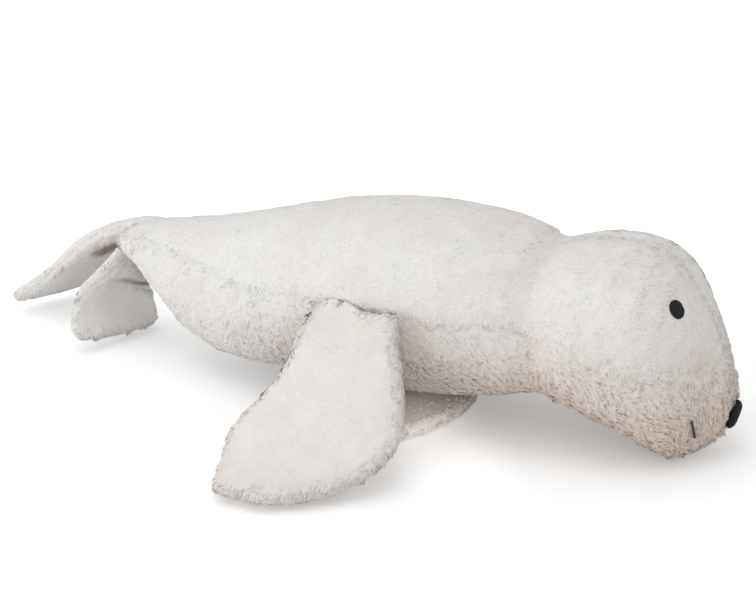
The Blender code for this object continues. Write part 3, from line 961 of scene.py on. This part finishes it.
    def turned_lay(self, chance: np.random.Generator, roots: Roots) -> np.ndarray:
        """Lay the locks along the cover, and turn them aside in swirls and by chance.

        Args:
            chance: What gives the chance numbers.
            roots: Where the locks grow.

        Returns:
            The direction of each lock, along the cover.
        """
        style, lay, count = self.style, self.direction(), len(roots.places)
        along = lay - roots.normals * (roots.normals @ lay)[:, None]
        spare = np.cross(roots.normals, style.spare_lay)
        along += spare * (1 - smoothstep(0.05, 0.30, np.linalg.norm(along, axis=1)))[:, None] * 0.5
        along /= np.linalg.norm(along, axis=1)[:, None]
        aside = np.cross(roots.normals, along)
        (slow_size, slow_turn), (quick_size, quick_turn) = style.swirls
        turn = slow_turn * soft_noise(roots.places, slow_size, self.seed + 31)
        turn += quick_turn * soft_noise(roots.places, quick_size, self.seed + 41)
        closed, split = style.stray
        turn += chance.normal(0, closed, count) + roots.parted * chance.normal(0, split, count)
        return along * np.cos(turn)[:, None] + aside * np.sin(turn)[:, None]

    def lock_points(
        self,
        chance: np.random.Generator,
        roots: Roots,
        along: np.ndarray,
        clumps: tuple[np.ndarray, np.ndarray, np.ndarray],
    ) -> np.ndarray:
        """Shape each lock: its length, width, lift and bend, leaning to its clump's middle.

        Args:
            chance: What gives the chance numbers.
            roots: Where the locks grow.
            along: The direction of each lock.
            clumps: What Clumps.gathered says of each root.

        Returns:
            A table of points for each lock.
        """
        style, count = self.style, len(roots.places)
        normals, parted = roots.normals, roots.parted
        inward, gap, _ = clumps
        short = style.seam_length + (1 - style.seam_length) * smoothstep(0.0, style.seam_reach, roots.away)
        length = self.lock_length * style.at(style.length, parted) * chance.uniform(0.75, 1.25, count) * short
        drawn = inward - normals * (inward * normals).sum(axis=1)[:, None]
        along = along * length[:, None] + drawn * (style.gathering * parted)[:, None]
        along /= np.linalg.norm(along, axis=1)[:, None]
        aside = np.cross(normals, along)
        width = self.lock_width * style.at(style.width, parted) * chance.uniform(0.8, 1.2, count)
        lift = style.at(style.lift, parted) * chance.uniform(0.5, 1.5, count) * (1 - 0.5 * gap * parted)
        thick = style.at(style.thickness, parted)[:, None]
        bend = chance.normal(0, style.at(style.bend, parted), count)
        length, width, lift, bend = (part[:, None] for part in (length, width, lift, bend))
        x, y, z = (self.lock.points[:, k][None, :] for k in range(3))
        rise, droop = style.curve
        across = width * y + (bend * length) * x**2
        high = width * thick * z + length * (lift * rise * x - lift * droop * x**2) - style.sunk
        points = roots.places[:, None, :] + along[:, None, :] * (length * x)[..., None]
        points = points + aside[:, None, :] * across[..., None] + normals[:, None, :] * high[..., None]
        points[..., 2] = np.maximum(points[..., 2], style.floor_gap)
        return points

    def blend_normals(self, mesh: bpy.types.Mesh, roots: Roots) -> None:
        """Give the locks normals between their own and the cover's, so that the pile is lit as one cloth.

        Args:
            mesh: The locks' mesh.
            roots: Where the locks grow.
        """
        style, step = self.style, len(self.lock.points)
        own = vertex_normals(mesh)
        calm = style.at(style.calm, roots.parted).repeat(step)[:, None]
        blended = own * (1 - calm) + roots.normals.repeat(step, axis=0) * calm + np.array(self.raised_normal)
        shortfall = style.least_dot - (own * blended).sum(axis=1)
        blended += own * np.clip(shortfall, 0, style.most_turned)[:, None]
        blended /= np.maximum(np.linalg.norm(blended, axis=1), 1e-9)[:, None]
        mesh.normals_split_custom_set_from_vertices(blended)

    def tint(
        self,
        piece: bpy.types.Object,
        chance: np.random.Generator,
        roots: Roots,
        clumps: tuple[np.ndarray, np.ndarray, np.ndarray],
    ) -> None:
        """Store the locks' painted shade, warmth and tone for their finish.

        Args:
            piece: The piece of pile.
            chance: What gives the chance numbers.
            roots: Where the locks grow.
            clumps: What Clumps.gathered says of each root.
        """
        style, step = self.style, len(self.lock.points)
        parted, (_, gap, own) = roots.parted, clumps
        # Painted shade: darker towards each lock's root, in the gaps between clumps, and in the form's
        # hollows and folds.
        rooted = (1 - np.clip(self.lock.points[:, 0][None, :], 0, 1)) ** style.root_fade
        shade = self.shade(roots.places, roots.normals) + self.line(roots.places, roots.away)
        hollow = (style.gap_shade * gap * parted * own + style.hollow_share * shade)[:, None]
        depth = rooted * style.at(style.root_shade, parted)[:, None] + hollow
        self.store(piece, "pile_depth", np.clip(depth, 0, 1).reshape(-1))
        self.store(piece, "warmth_and_shade", roots.warm.repeat(step))
        tone = chance.normal(1.0, style.tone_spread, len(gap)) - style.clump_tone * parted * own
        self.store(piece, "tone", (tone + self.mottling(roots.places)).repeat(step))

    def locks_object(self, name: str, points: np.ndarray) -> bpy.types.Object:
        """Make one object of many locks.

        Args:
            name: The object's name.
            points: A table of points for each lock.

        Returns:
            The object, shaded smooth.
        """
        count, step = points.shape[:2]
        mesh = bpy.data.meshes.new(name)
        mesh.vertices.add(count * step)
        mesh.vertices.foreach_set("co", points.reshape(-1))
        corners = (self.lock.corners[None, :] + step * np.arange(count)[:, None]).reshape(-1)
        sizes = np.tile(self.lock.sizes, count)
        mesh.loops.add(len(corners))
        mesh.loops.foreach_set("vertex_index", corners.astype(np.int32))
        mesh.polygons.add(len(sizes))
        starts = np.concatenate([[0], np.cumsum(sizes)[:-1]])
        mesh.polygons.foreach_set("loop_start", starts.astype(np.int32))
        mesh.update(calc_edges=True)
        mesh.validate()
        mesh.shade_smooth()
        piece = bpy.data.objects.new(name, mesh)
        bpy.context.scene.collection.objects.link(piece)
        return piece


@dataclass
class BodyAndHead(StuffedForm):
    """The long body and the head, sewn of five panels."""

    name: str = "body_and_head"
    skin: tuple[str, ...] = ("back_panel", "belly_panel", "head_side_left", "head_side_right", "chin_panel")
    filling: str = "body_filling"
    lay: Lay = Lay.FORWARD_DOWN
    seam_depths: dict[frozenset[str], float] = field(
        default_factory=lambda: {
            frozenset(("head_side_left", "head_side_right")): 0.08,
            frozenset(("back_panel", "head_side_left")): 0.22,
            frozenset(("back_panel", "head_side_right")): 0.22,
            frozenset(("belly_panel", "head_side_left")): 0.25,
            frozenset(("belly_panel", "head_side_right")): 0.25,
            frozenset(("head_side_left", "chin_panel")): 0.35,
            frozenset(("head_side_right", "chin_panel")): 0.35,
            frozenset(("back_panel", "belly_panel")): 0.55,
        }
    )
    neck: tuple[float, float] = (129 * MM, 16 * MM)
    neck_smoothing: int = 22
    parting_heights: tuple[float, float] = (0.030, 0.115)
    parting_front: tuple[float, float] = (-0.16, 0.02)
    chest: tuple[float, float] = (0.06, 0.06)
    warm_shade_heights: tuple[float, float] = (0.025, 0.120)
    warm_front: tuple[float, float] = (-0.13, 0.03)
    nose_press: float = 2.4 * MM
    nose_seat: tuple[float, float] = (11 * MM, 17 * MM)

    def ease(self) -> None:
        """Let the neck flow softly from body to head."""
        points = coordinates(self.cover.data)
        place, width = self.neck
        middle = place + 0.05 * (points[:, 2] - 80 * MM)
        self.soften(bell(points[:, 0] - middle, width), self.neck_smoothing)
        self.press_nose()

    def press_nose(self) -> None:
        """Press the muzzle flat behind the nose's CAD node."""
        points, solid = coordinates(self.cover.data), coordinates(self.nodes["nose"].data)
        centre = solid.mean(axis=0)
        outward = np.linalg.svd(solid - centre, full_matrices=False)[2][2]
        outward = outward * np.sign(outward[0])
        height = (points - centre) @ outward
        aside = np.linalg.norm(points - centre - height[:, None] * outward, axis=1)
        inner, outer = self.nose_seat
        excess = np.clip(height + self.nose_press, 0, 12 * MM) * (1 - smoothstep(inner, outer, aside))
        set_coordinates(self.cover.data, points - outward * excess[:, None])

    def parting(self, points: np.ndarray, away: np.ndarray) -> np.ndarray:
        """The pile parts most low on the flanks and the jaw, and along the seams."""
        height = points[:, 2] + 14 * MM * soft_noise(points, 30 * MM, 71)
        low = 1 - smoothstep(*self.parting_heights, height)
        front = 0.32 + 0.68 * smoothstep(*self.parting_front, points[:, 0])
        front += 0.22 * bell(points[:, 0] - self.chest[0], self.chest[1])
        return np.clip(0.06 + 0.68 * low * front + 0.20 * bell(away, 5 * MM), 0, 1)

    def warmth_and_shade(self, points: np.ndarray, normals: np.ndarray) -> np.ndarray:
        """The white is warmer towards the front and in random patches, and painted warm shade makes it
        warmest low on the chest and the jaw; the back and the rear stay cool.
        """
        height = points[:, 2] + 15 * MM * soft_noise(points, 40 * MM, 77)
        # Painted warm shade, low on the body.
        low = 1 - smoothstep(*self.warm_shade_heights, height)
        front = smoothstep(*self.warm_front, points[:, 0])
        patches = 0.10 * soft_noise(points, 16 * MM, 78)
        return np.clip(0.04 + front * (0.08 + 0.80 * low) + 0.12 * low + patches, 0, 1)

    def sections(self, roots: np.ndarray) -> list[tuple[str, np.ndarray]]:
        """One piece of pile for each panel."""
        trees = [surface_tree(self.nodes[node].data) for node in self.skin]
        distance = np.array([[tree.find_nearest(Vector(root))[3] for tree in trees] for root in roots])
        nearest = distance.argmin(axis=1)
        return [(node.replace("_panel", "") + "_pile", nearest == k) for k, node in enumerate(self.skin)]


@dataclass
class Flipper(StuffedForm):
    """A flat flipper of two layers, with a seam round its rim."""

    rim: float = 8 * MM
    start_offset: float = 0.3 * MM
    most_swell: float = 2.5 * MM
    groove: float = 0.8 * MM
    smoothing: int = 3
    lock_length: float = 5.0 * MM
    root_above: float = 60 * MM
    sewn_reach: float = 1.0 * MM
    root_reach: float = 15 * MM
    root_draw: float = 2.5 * MM
    face_smoothing: int = 45
    face_inset: tuple[float, float] = (6 * MM, 14 * MM)
    rim_parting: float = 0.34
    line_shade: float = 0.30
    raised_normal: tuple[float, float, float] = (0, -0.17, 0.44)

    def ease(self) -> None:
        """Taper the sewn end into the body, so that no gap shows at its root."""
        trees = [surface_tree(self.nodes[panel].data) for panel in ("back_panel", "belly_panel")]

        def nearest(place: Vector) -> tuple[Vector, Vector, int, float]:
            """Find the nearest place on the body, with its normal, face and distance."""
            return min((tree.find_nearest(place) for tree in trees), key=lambda found: found[3])

        edges = [vertex for node in self.skin for vertex in self.nodes[node].data.vertices]
        ends = KDTree(len(edges))
        for vertex in edges:
            if nearest(vertex.co)[3] < self.sewn_reach and vertex.co.z > self.root_above:
                ends.insert(vertex.co, vertex.index)
        ends.balance()
        points = coordinates(self.cover.data)
        shares = np.ones(len(points))
        for k, point in enumerate(points):
            end, _, straight = ends.find(point)
            if end is None or straight > 2 * self.root_reach:
                continue
            place, normal, _, _ = nearest(Vector(point))
            outward = np.array(normal)
            aside = point - np.array(end)
            reach = np.linalg.norm(aside - outward * (aside @ outward))
            if reach > self.root_reach:
                continue
            share = shares[k] = float(smoothstep(0, 1, np.array(reach / self.root_reach)))
            height = float((point - np.array(place)) @ outward)
            points[k] += outward * ((share - 1) * height - self.root_draw * (1 - share))
        set_coordinates(self.cover.data, points)
        self.store(self.cover, "root_share", shares)
        self.smooth_faces()

    def smooth_faces(self) -> None:
        """Smooth out the creases across the faces, and leave the rim as it is."""
        points = coordinates(self.cover.data)
        away, _ = Seams(self.skin, self.nodes, {}).measured(points, vertex_normals(self.cover.data))
        self.soften(smoothstep(*self.face_inset, away), self.face_smoothing)

    def parting(self, points: np.ndarray, away: np.ndarray) -> np.ndarray:
        """The pile parts along the rim, and little on the faces."""
        return np.clip(0.05 + self.rim_parting * bell(away, self.rim), 0, 1)


@dataclass
class TuckedFlipper(Flipper):
    """The left front flipper, whose pile stands towards the light from under the chest."""

    raised_normal: tuple[float, float, float] = (0.5, -0.9, 0.4)


@dataclass
class HangingFlipper(Flipper):
    """The right tail flipper, with a fold across it under the tail end."""

    fold_height: float = 57 * MM
    fold_slope: float = -0.43
    fold_width: float = 2.6 * MM
    fold_depth: float = 4.0 * MM
    # Painted brown shade in the fold and on the part under the tail end.
    fold_shade: float = 0.75
    upper_shade: float = 0.30
    upper_heights: tuple[float, float] = (0.062, 0.090)
    softened_heights: tuple[float, float] = (0.018, 0.045)
    raised_heights: tuple[float, float] = (0.058, 0.086)
    edge_height: tuple[float, float] = (0.055, 0.022)
    raised: tuple[float, float, float] = (3 * MM, -3 * MM, 19 * MM)
    far_shift: tuple[float, float, float] = (12 * MM, 3 * MM, 0)
    edge_shift: tuple[float, float, float] = (-2.5 * MM, -1 * MM, 5 * MM)
    raised_normal: tuple[float, float, float] = (0, -0.5, 0.8)
    rim_parting: float = 0.20
    seam_shade: float = 0.15

    def ease(self) -> None:
        """Push the sewn end up into the body, and round the edge off."""
        points = coordinates(self.cover.data)
        self.soften(smoothstep(*self.softened_heights, points[:, 2]), 70)
        points = coordinates(self.cover.data)
        top = smoothstep(*self.raised_heights, points[:, 2])
        middle, width = self.edge_height
        edge = bell(points[:, 2] - middle, width) * smoothstep(0.015, -0.025, points[:, 1])
        points += top[:, None] * np.array(self.raised)
        far = smoothstep(-0.005, 0.030, points[:, 1]) * smoothstep(0.014, 0.040, points[:, 2])
        points += far[:, None] * np.array(self.far_shift)
        points += edge[:, None] * np.array(self.edge_shift)
        set_coordinates(self.cover.data, points)

    def folded(self, points: np.ndarray, normals: np.ndarray) -> np.ndarray:
        """Return how near the fold each point is, from 0 to 1, fading towards the near edge."""
        line = self.fold_height + self.fold_slope * points[:, 1] + 2 * MM * soft_noise(points, 25 * MM, 91)
        near = bell(points[:, 2] - line, self.fold_width)
        return near * smoothstep(-0.028, 0.020, points[:, 1]) * (normals[:, 0] > 0)

    def folds(self, points: np.ndarray, normals: np.ndarray) -> np.ndarray:
        """The fold draws the face in."""
        return -self.fold_depth * self.folded(points, normals)

    def shade(self, points: np.ndarray, normals: np.ndarray) -> np.ndarray:
        """The fold and the part that turns up under the tail end get painted brown shade."""
        upper = smoothstep(*self.upper_heights, points[:, 2]) * (normals[:, 0] > -0.2)
        return self.fold_shade * self.folded(points, normals) + self.upper_shade * upper


@dataclass
class ArchedFlipper(Flipper):
    """The left tail flipper, whose underside makes a hollow behind the tail end."""

    # Painted brown shade in the hollow under the arch.
    hollow: tuple[float, float, float] = (-0.298, 0.022, 0.083)
    hollow_reach: float = 24 * MM
    hollow_shade: float = 0.85
    end_stretch: tuple[float, float] = (-0.395, -0.370)
    root_stretch: tuple[float, float] = (-0.335, -0.285)
    tip_stretch: tuple[float, float] = (-0.340, -0.400)
    root_shift: tuple[float, float, float] = (28 * MM, -2 * MM, 4.5 * MM)
    tip_shift: tuple[float, float, float] = (-6 * MM, 0, 3 * MM)
    rim_parting: float = 0.20
    seam_shade: float = 0.15

    def ease(self) -> None:
        """Push the sewn end forward into the body, round the edges off, and draw the tip out blunt."""
        points = coordinates(self.cover.data)
        self.soften(smoothstep(*self.end_stretch, points[:, 0]) * 0.9, 40)
        points = coordinates(self.cover.data)
        root = smoothstep(*self.root_stretch, points[:, 0])
        points += root[:, None] * np.array(self.root_shift)
        tip = smoothstep(*self.tip_stretch, points[:, 0])
        points += tip[:, None] * np.array(self.tip_shift)
        set_coordinates(self.cover.data, points)

    def shade(self, points: np.ndarray, normals: np.ndarray) -> np.ndarray:
        """The hollow under its arch gets painted brown shade."""
        under = smoothstep(-0.2, 0.4, normals[:, 0] - normals[:, 2])
        far = np.linalg.norm(points - np.array(self.hollow), axis=1) + 5 * MM * soft_noise(points, 8 * MM, 93)
        return self.hollow_shade * under * (1 - smoothstep(0.55, 1.1, far / self.hollow_reach))


# ---- the face


@dataclass
class FeltPatch:
    """A round or oval felt patch, slightly crowned, sewn flat in the pile."""

    name: str
    node: str
    spread: float = 1.0
    sink: float = 2.4 * MM
    crown: float = 1.0
    shift: tuple[float, float, float] = (0, 0, 0)
    segments: int = 48

    def build(self, nodes: dict[str, bpy.types.Object]) -> None:
        """Make the patch where its CAD node is, with a soft uneven edge.

        Args:
            nodes: The CAD nodes by name.
        """
        solid = coordinates(nodes[self.node].data)
        centre = solid.mean(axis=0)
        axes = np.linalg.svd(solid - centre, full_matrices=False)[2]
        outward = Vector(axes[2])
        if outward.x < 0:
            outward.negate()
        long, wide = Vector(axes[0]), Vector(axes[1])
        frame = np.array([long, wide, outward])
        halves = abs((solid - centre) @ frame.T).max(axis=0)
        half_long, half_wide, half_thick = halves * (self.spread, self.spread, self.crown)
        bpy.ops.object.select_all(action="DESELECT")
        bpy.ops.mesh.primitive_uv_sphere_add(segments=self.segments, ring_count=24, radius=1.0)
        patch = bpy.context.view_layer.objects.active
        patch.name = patch.data.name = self.name
        mesh = patch.data
        unit = coordinates(mesh)
        edge = np.sqrt(unit[:, 0] ** 2 + unit[:, 1] ** 2)
        crowned = np.sign(unit[:, 2]) * np.clip(1 - edge**4, 0, None) ** 0.55
        ragged = 1 + 0.035 * soft_noise(unit, 0.35, 5) * smoothstep(0.5, 1.0, edge)
        x, y = unit[:, 0] * half_long * ragged, unit[:, 1] * half_wide * ragged
        local = np.stack([x, y, crowned * half_thick], -1)
        local[:, 2] += 0.25 * MM * soft_noise(local, 2.2 * MM, 9)
        set_coordinates(mesh, centre + local @ frame - np.array(outward) * self.sink + np.array(self.shift))
        if long.cross(wide).dot(outward) < 0:
            mesh.flip_normals()
        mesh.shade_smooth()
        finish = BLACK_FELT
        mesh.materials.append(finish.material())
        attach(patch, "root")
        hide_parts(self.node)
        LOG.info("%s: %.1f by %.1f mm", self.name, 2 * half_long / MM, 2 * half_wide / MM)


@dataclass
class MouthStitch:
    """One straight stitch of two strands of thread, twisted together, whose ends dive into the pile."""

    name: str
    node: str
    turns: float = 4.5
    steps: int = 64
    strand: float = 0.62 * MM
    dive: float = 2.5 * MM
    proud: float = 0.9 * MM

    def build(self, nodes: dict[str, bpy.types.Object]) -> None:
        """Make the stitch along its CAD node.

        Args:
            nodes: The CAD nodes by name.
        """
        solid = coordinates(nodes[self.node].data)
        centre = solid.mean(axis=0)
        axis = np.linalg.svd(solid - centre, full_matrices=False)[2][0]
        reach = (solid - centre) @ axis
        outward = np.array((0.35, -0.93 if centre[1] < 0 else 0.93, 0.0))
        outward -= axis * (outward @ axis)
        outward /= np.linalg.norm(outward)
        aside = np.cross(axis, outward)
        strands = []
        for phase in (0.0, math.pi):
            bpy.ops.object.select_all(action="DESELECT")
            bpy.ops.curve.primitive_nurbs_path_add()
            strand = bpy.context.view_layer.objects.active
            curve = strand.data
            curve.splines.clear()
            spline = curve.splines.new("POLY")
            spline.points.add(self.steps)
            for k in range(self.steps + 1):
                share = k / self.steps
                angle = phase + 2 * math.pi * self.turns * share
                along = reach.min() + (reach.max() - reach.min()) * share
                into = self.dive * (abs(2 * share - 1) ** 5)
                twist = outward * math.cos(angle) + aside * math.sin(angle)
                middle = centre + axis * along + outward * (self.proud - into)
                place = middle + twist * self.strand * 0.7
                spline.points[k].co = (*place, 1.0)
            curve.dimensions = "3D"
            curve.bevel_depth = self.strand
            curve.bevel_resolution = 3
            curve.use_fill_caps = True
            select_only(strand)
            bpy.ops.object.convert(target="MESH")
            strands.append(bpy.context.view_layer.objects.active)
        select_only(strands[0])
        strands[1].select_set(True)
        bpy.ops.object.join()
        stitch = bpy.context.view_layer.objects.active
        bpy.ops.object.transform_apply(location=True, rotation=True, scale=True)
        stitch.name = stitch.data.name = self.name
        stitch.data.shade_smooth()
        finish = MOUTH_THREAD
        stitch.data.materials.clear()
        stitch.data.materials.append(finish.material())
        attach(stitch, "root")
        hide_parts(self.node)
        LOG.info("%s: %d faces", self.name, len(stitch.data.polygons))


# ---- the studio


@dataclass(frozen=True)
class Lamp:
    """One lamp: a broad rectangle that has a size, or a narrow round beam that has an angle."""

    name: str
    place: tuple[float, float, float]
    energy: float
    size: tuple[float, float] = (0, 0)
    angle: float = 0.0
    bulb: float = 20 * MM
    target: tuple[float, float, float] = (0, 0, 50 * MM)

    def hang(self) -> None:
        """Hang the lamp, turned to its target."""
        lamp = bpy.data.lights.new(self.name, "SPOT" if self.angle else "AREA")
        if self.angle:
            lamp.spot_size = math.radians(self.angle)
            lamp.spot_blend = 1.0
            lamp.shadow_soft_size = self.bulb
        else:
            lamp.shape = "RECTANGLE"
            lamp.size, lamp.size_y = self.size
        lamp.energy = self.energy
        hung = bpy.data.objects.new(self.name, lamp)
        hung.location = self.place
        hung.rotation_euler = (Vector(self.target) - hung.location).to_track_quat("-Z", "Y").to_euler()
        bpy.context.scene.collection.objects.link(hung)


@dataclass
class Studio:
    """A pale floor, soft light and the photograph's camera."""

    azimuth: float = 25.0
    elevation: float = 20.0
    distance: float = 1.065
    target: tuple[float, float, float] = (-0.03707, 0.03695, 0.06)
    lens: float = 60.0
    sky: float = 0.68
    floor_grey: float = 0.90
    glow: tuple[tuple[float, float], tuple[float, float]] = ((0.22, 0.80), (0.24, 0.85))
    lamps: tuple[Lamp, ...] = (
        Lamp("overhead", (-0.25, -0.35, 1.55), 6.2, size=(1.6, 1.2)),
        Lamp("front_right", (0.84, -1.20, 0.33), 2.0, size=(1.0, 0.7)),
        Lamp("front_left", (-1.00, -1.10, 0.26), 5.2, size=(1.0, 0.7)),
        Lamp("under_chest", (0.62, -0.75, 0.32), 19.0, angle=6.5, target=(0.086, -0.106, 0.0)),
    )

    def build(self) -> None:
        """Set the scene."""
        self.add_camera()
        self.add_floor()
        self.add_light()
        bpy.context.scene.view_settings.view_transform = "Standard"

    def add_camera(self) -> None:
        """Put the camera where the photograph was taken from."""
        across, up = math.radians(self.azimuth), math.radians(self.elevation)
        away = Vector((math.sin(across) * math.cos(up), -math.cos(across) * math.cos(up), math.sin(up)))
        data = bpy.data.cameras.new("photograph")
        data.lens = self.lens
        data.sensor_width = 36.0
        camera = bpy.data.objects.new("photograph", data)
        camera.location = Vector(self.target) + away * self.distance
        camera.rotation_euler = (-away).to_track_quat("-Z", "Y").to_euler()
        bpy.context.scene.collection.objects.link(camera)
        bpy.context.scene.camera = camera

    def add_floor(self) -> None:
        """Lay a wide pale floor that shows white to the camera outside the seal's shadow."""
        bpy.ops.object.select_all(action="DESELECT")
        bpy.ops.mesh.primitive_plane_add(size=12.0, location=(0, 0, 0))
        floor = bpy.context.view_layer.objects.active
        floor.name = "floor"
        material, shader = new_material("pale_floor")
        shader.inputs["Base Color"].default_value = (*(self.floor_grey,) * 3, 1)
        shader.inputs["Roughness"].default_value = 1.0
        shader.inputs["Specular IOR Level"].default_value = 0.0
        shader.inputs["Emission Color"].default_value = (1, 1, 1, 1)
        tree = material.node_tree
        (near, far), (dim, bright) = self.glow
        path = add_node(tree, "ShaderNodeLightPath")
        place = add_node(tree, "ShaderNodeTexCoord")
        away = add_node(tree, "ShaderNodeVectorMath", operation="LENGTH")
        span = {"From Min": near, "From Max": far, "To Min": dim, "To Max": bright}
        glow = add_node(tree, "ShaderNodeMapRange", span, interpolation_type="SMOOTHSTEP")
        seen = add_node(tree, "ShaderNodeMath", operation="MULTIPLY")
        link(
            tree,
            (place.outputs["Object"], away.inputs[0]),
            (away.outputs["Value"], glow.inputs["Value"]),
            (glow.outputs["Result"], seen.inputs[1]),
            (path.outputs["Is Camera Ray"], seen.inputs[0]),
            (seen.outputs["Value"], shader.inputs["Emission Strength"]),
        )
        floor.data.materials.append(material)

    def add_light(self) -> None:
        """Light the seal from an even sky, a broad lamp overhead, and low ones beside the camera."""
        world = bpy.data.worlds.new("studio")
        bpy.context.scene.world = world
        world.use_nodes = True
        tree = world.node_tree
        tree.nodes.clear()
        white = (1, 1, 1, 1)
        output = add_node(tree, "ShaderNodeOutputWorld")
        light = add_node(tree, "ShaderNodeBackground", {"Color": white, "Strength": self.sky})
        backdrop = add_node(tree, "ShaderNodeBackground", {"Color": white})
        mix = add_node(tree, "ShaderNodeMixShader")
        path = add_node(tree, "ShaderNodeLightPath")
        straight, seen = (add_node(tree, "ShaderNodeMath", operation="ADD", use_clamp=True) for _ in range(2))
        link(
            tree,
            (path.outputs["Is Camera Ray"], straight.inputs[0]),
            (path.outputs["Is Glossy Ray"], straight.inputs[1]),
            (straight.outputs["Value"], seen.inputs[0]),
            (path.outputs["Is Transmission Ray"], seen.inputs[1]),
            (seen.outputs["Value"], mix.inputs["Fac"]),
            (light.outputs["Background"], mix.inputs[1]),
            (backdrop.outputs["Background"], mix.inputs[2]),
            (mix.outputs["Shader"], output.inputs["Surface"]),
        )
        for lamp in self.lamps:
            lamp.hang()


def main() -> None:
    """Load the frame, build every piece, and set the studio."""
    logging.basicConfig(level=logging.INFO, format="%(name)s: %(message)s")
    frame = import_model()
    nodes = frame["nodes"]
    lock = LockShape()
    patches = [
        FeltPatch("eye_patch_left", "eye_left", shift=(-1.5 * MM, 3.5 * MM, -1.5 * MM)),
        FeltPatch("eye_patch_right", "eye_right"),
        FeltPatch("nose_patch", "nose", spread=0.90, sink=2.8 * MM, crown=1.6),
    ]
    bare = tuple(
        (Vector(coordinates(nodes[node].data).mean(axis=0)), radius)
        for node, radius in (("eye_left", 5.0 * MM), ("eye_right", 6.8 * MM), ("nose", 10.5 * MM))
    )
    forms = [BodyAndHead(bare=bare)]
    for kind, name, lay in (
        (Flipper, "front_flipper_right", Lay.OUT_RIGHT),
        (TuckedFlipper, "front_flipper_left", Lay.UNDER_RIGHT),
        (ArchedFlipper, "tail_flipper_left", Lay.BACK_DOWN),
        (HangingFlipper, "tail_flipper_right", Lay.DOWN),
    ):
        layers = (f"{name}_upper", f"{name}_lower")
        forms.append(kind(name, layers, f"{name}_filling", lay, seed=20 + len(forms)))
    for form in forms:
        form.build(nodes, lock)
    for patch in patches:
        patch.build(nodes)
    for side in ("left", "right"):
        MouthStitch(f"mouth_thread_{side}", f"mouth_stitch_{side}").build(nodes)
    Studio().build()


if __name__ == "__main__":
    main()
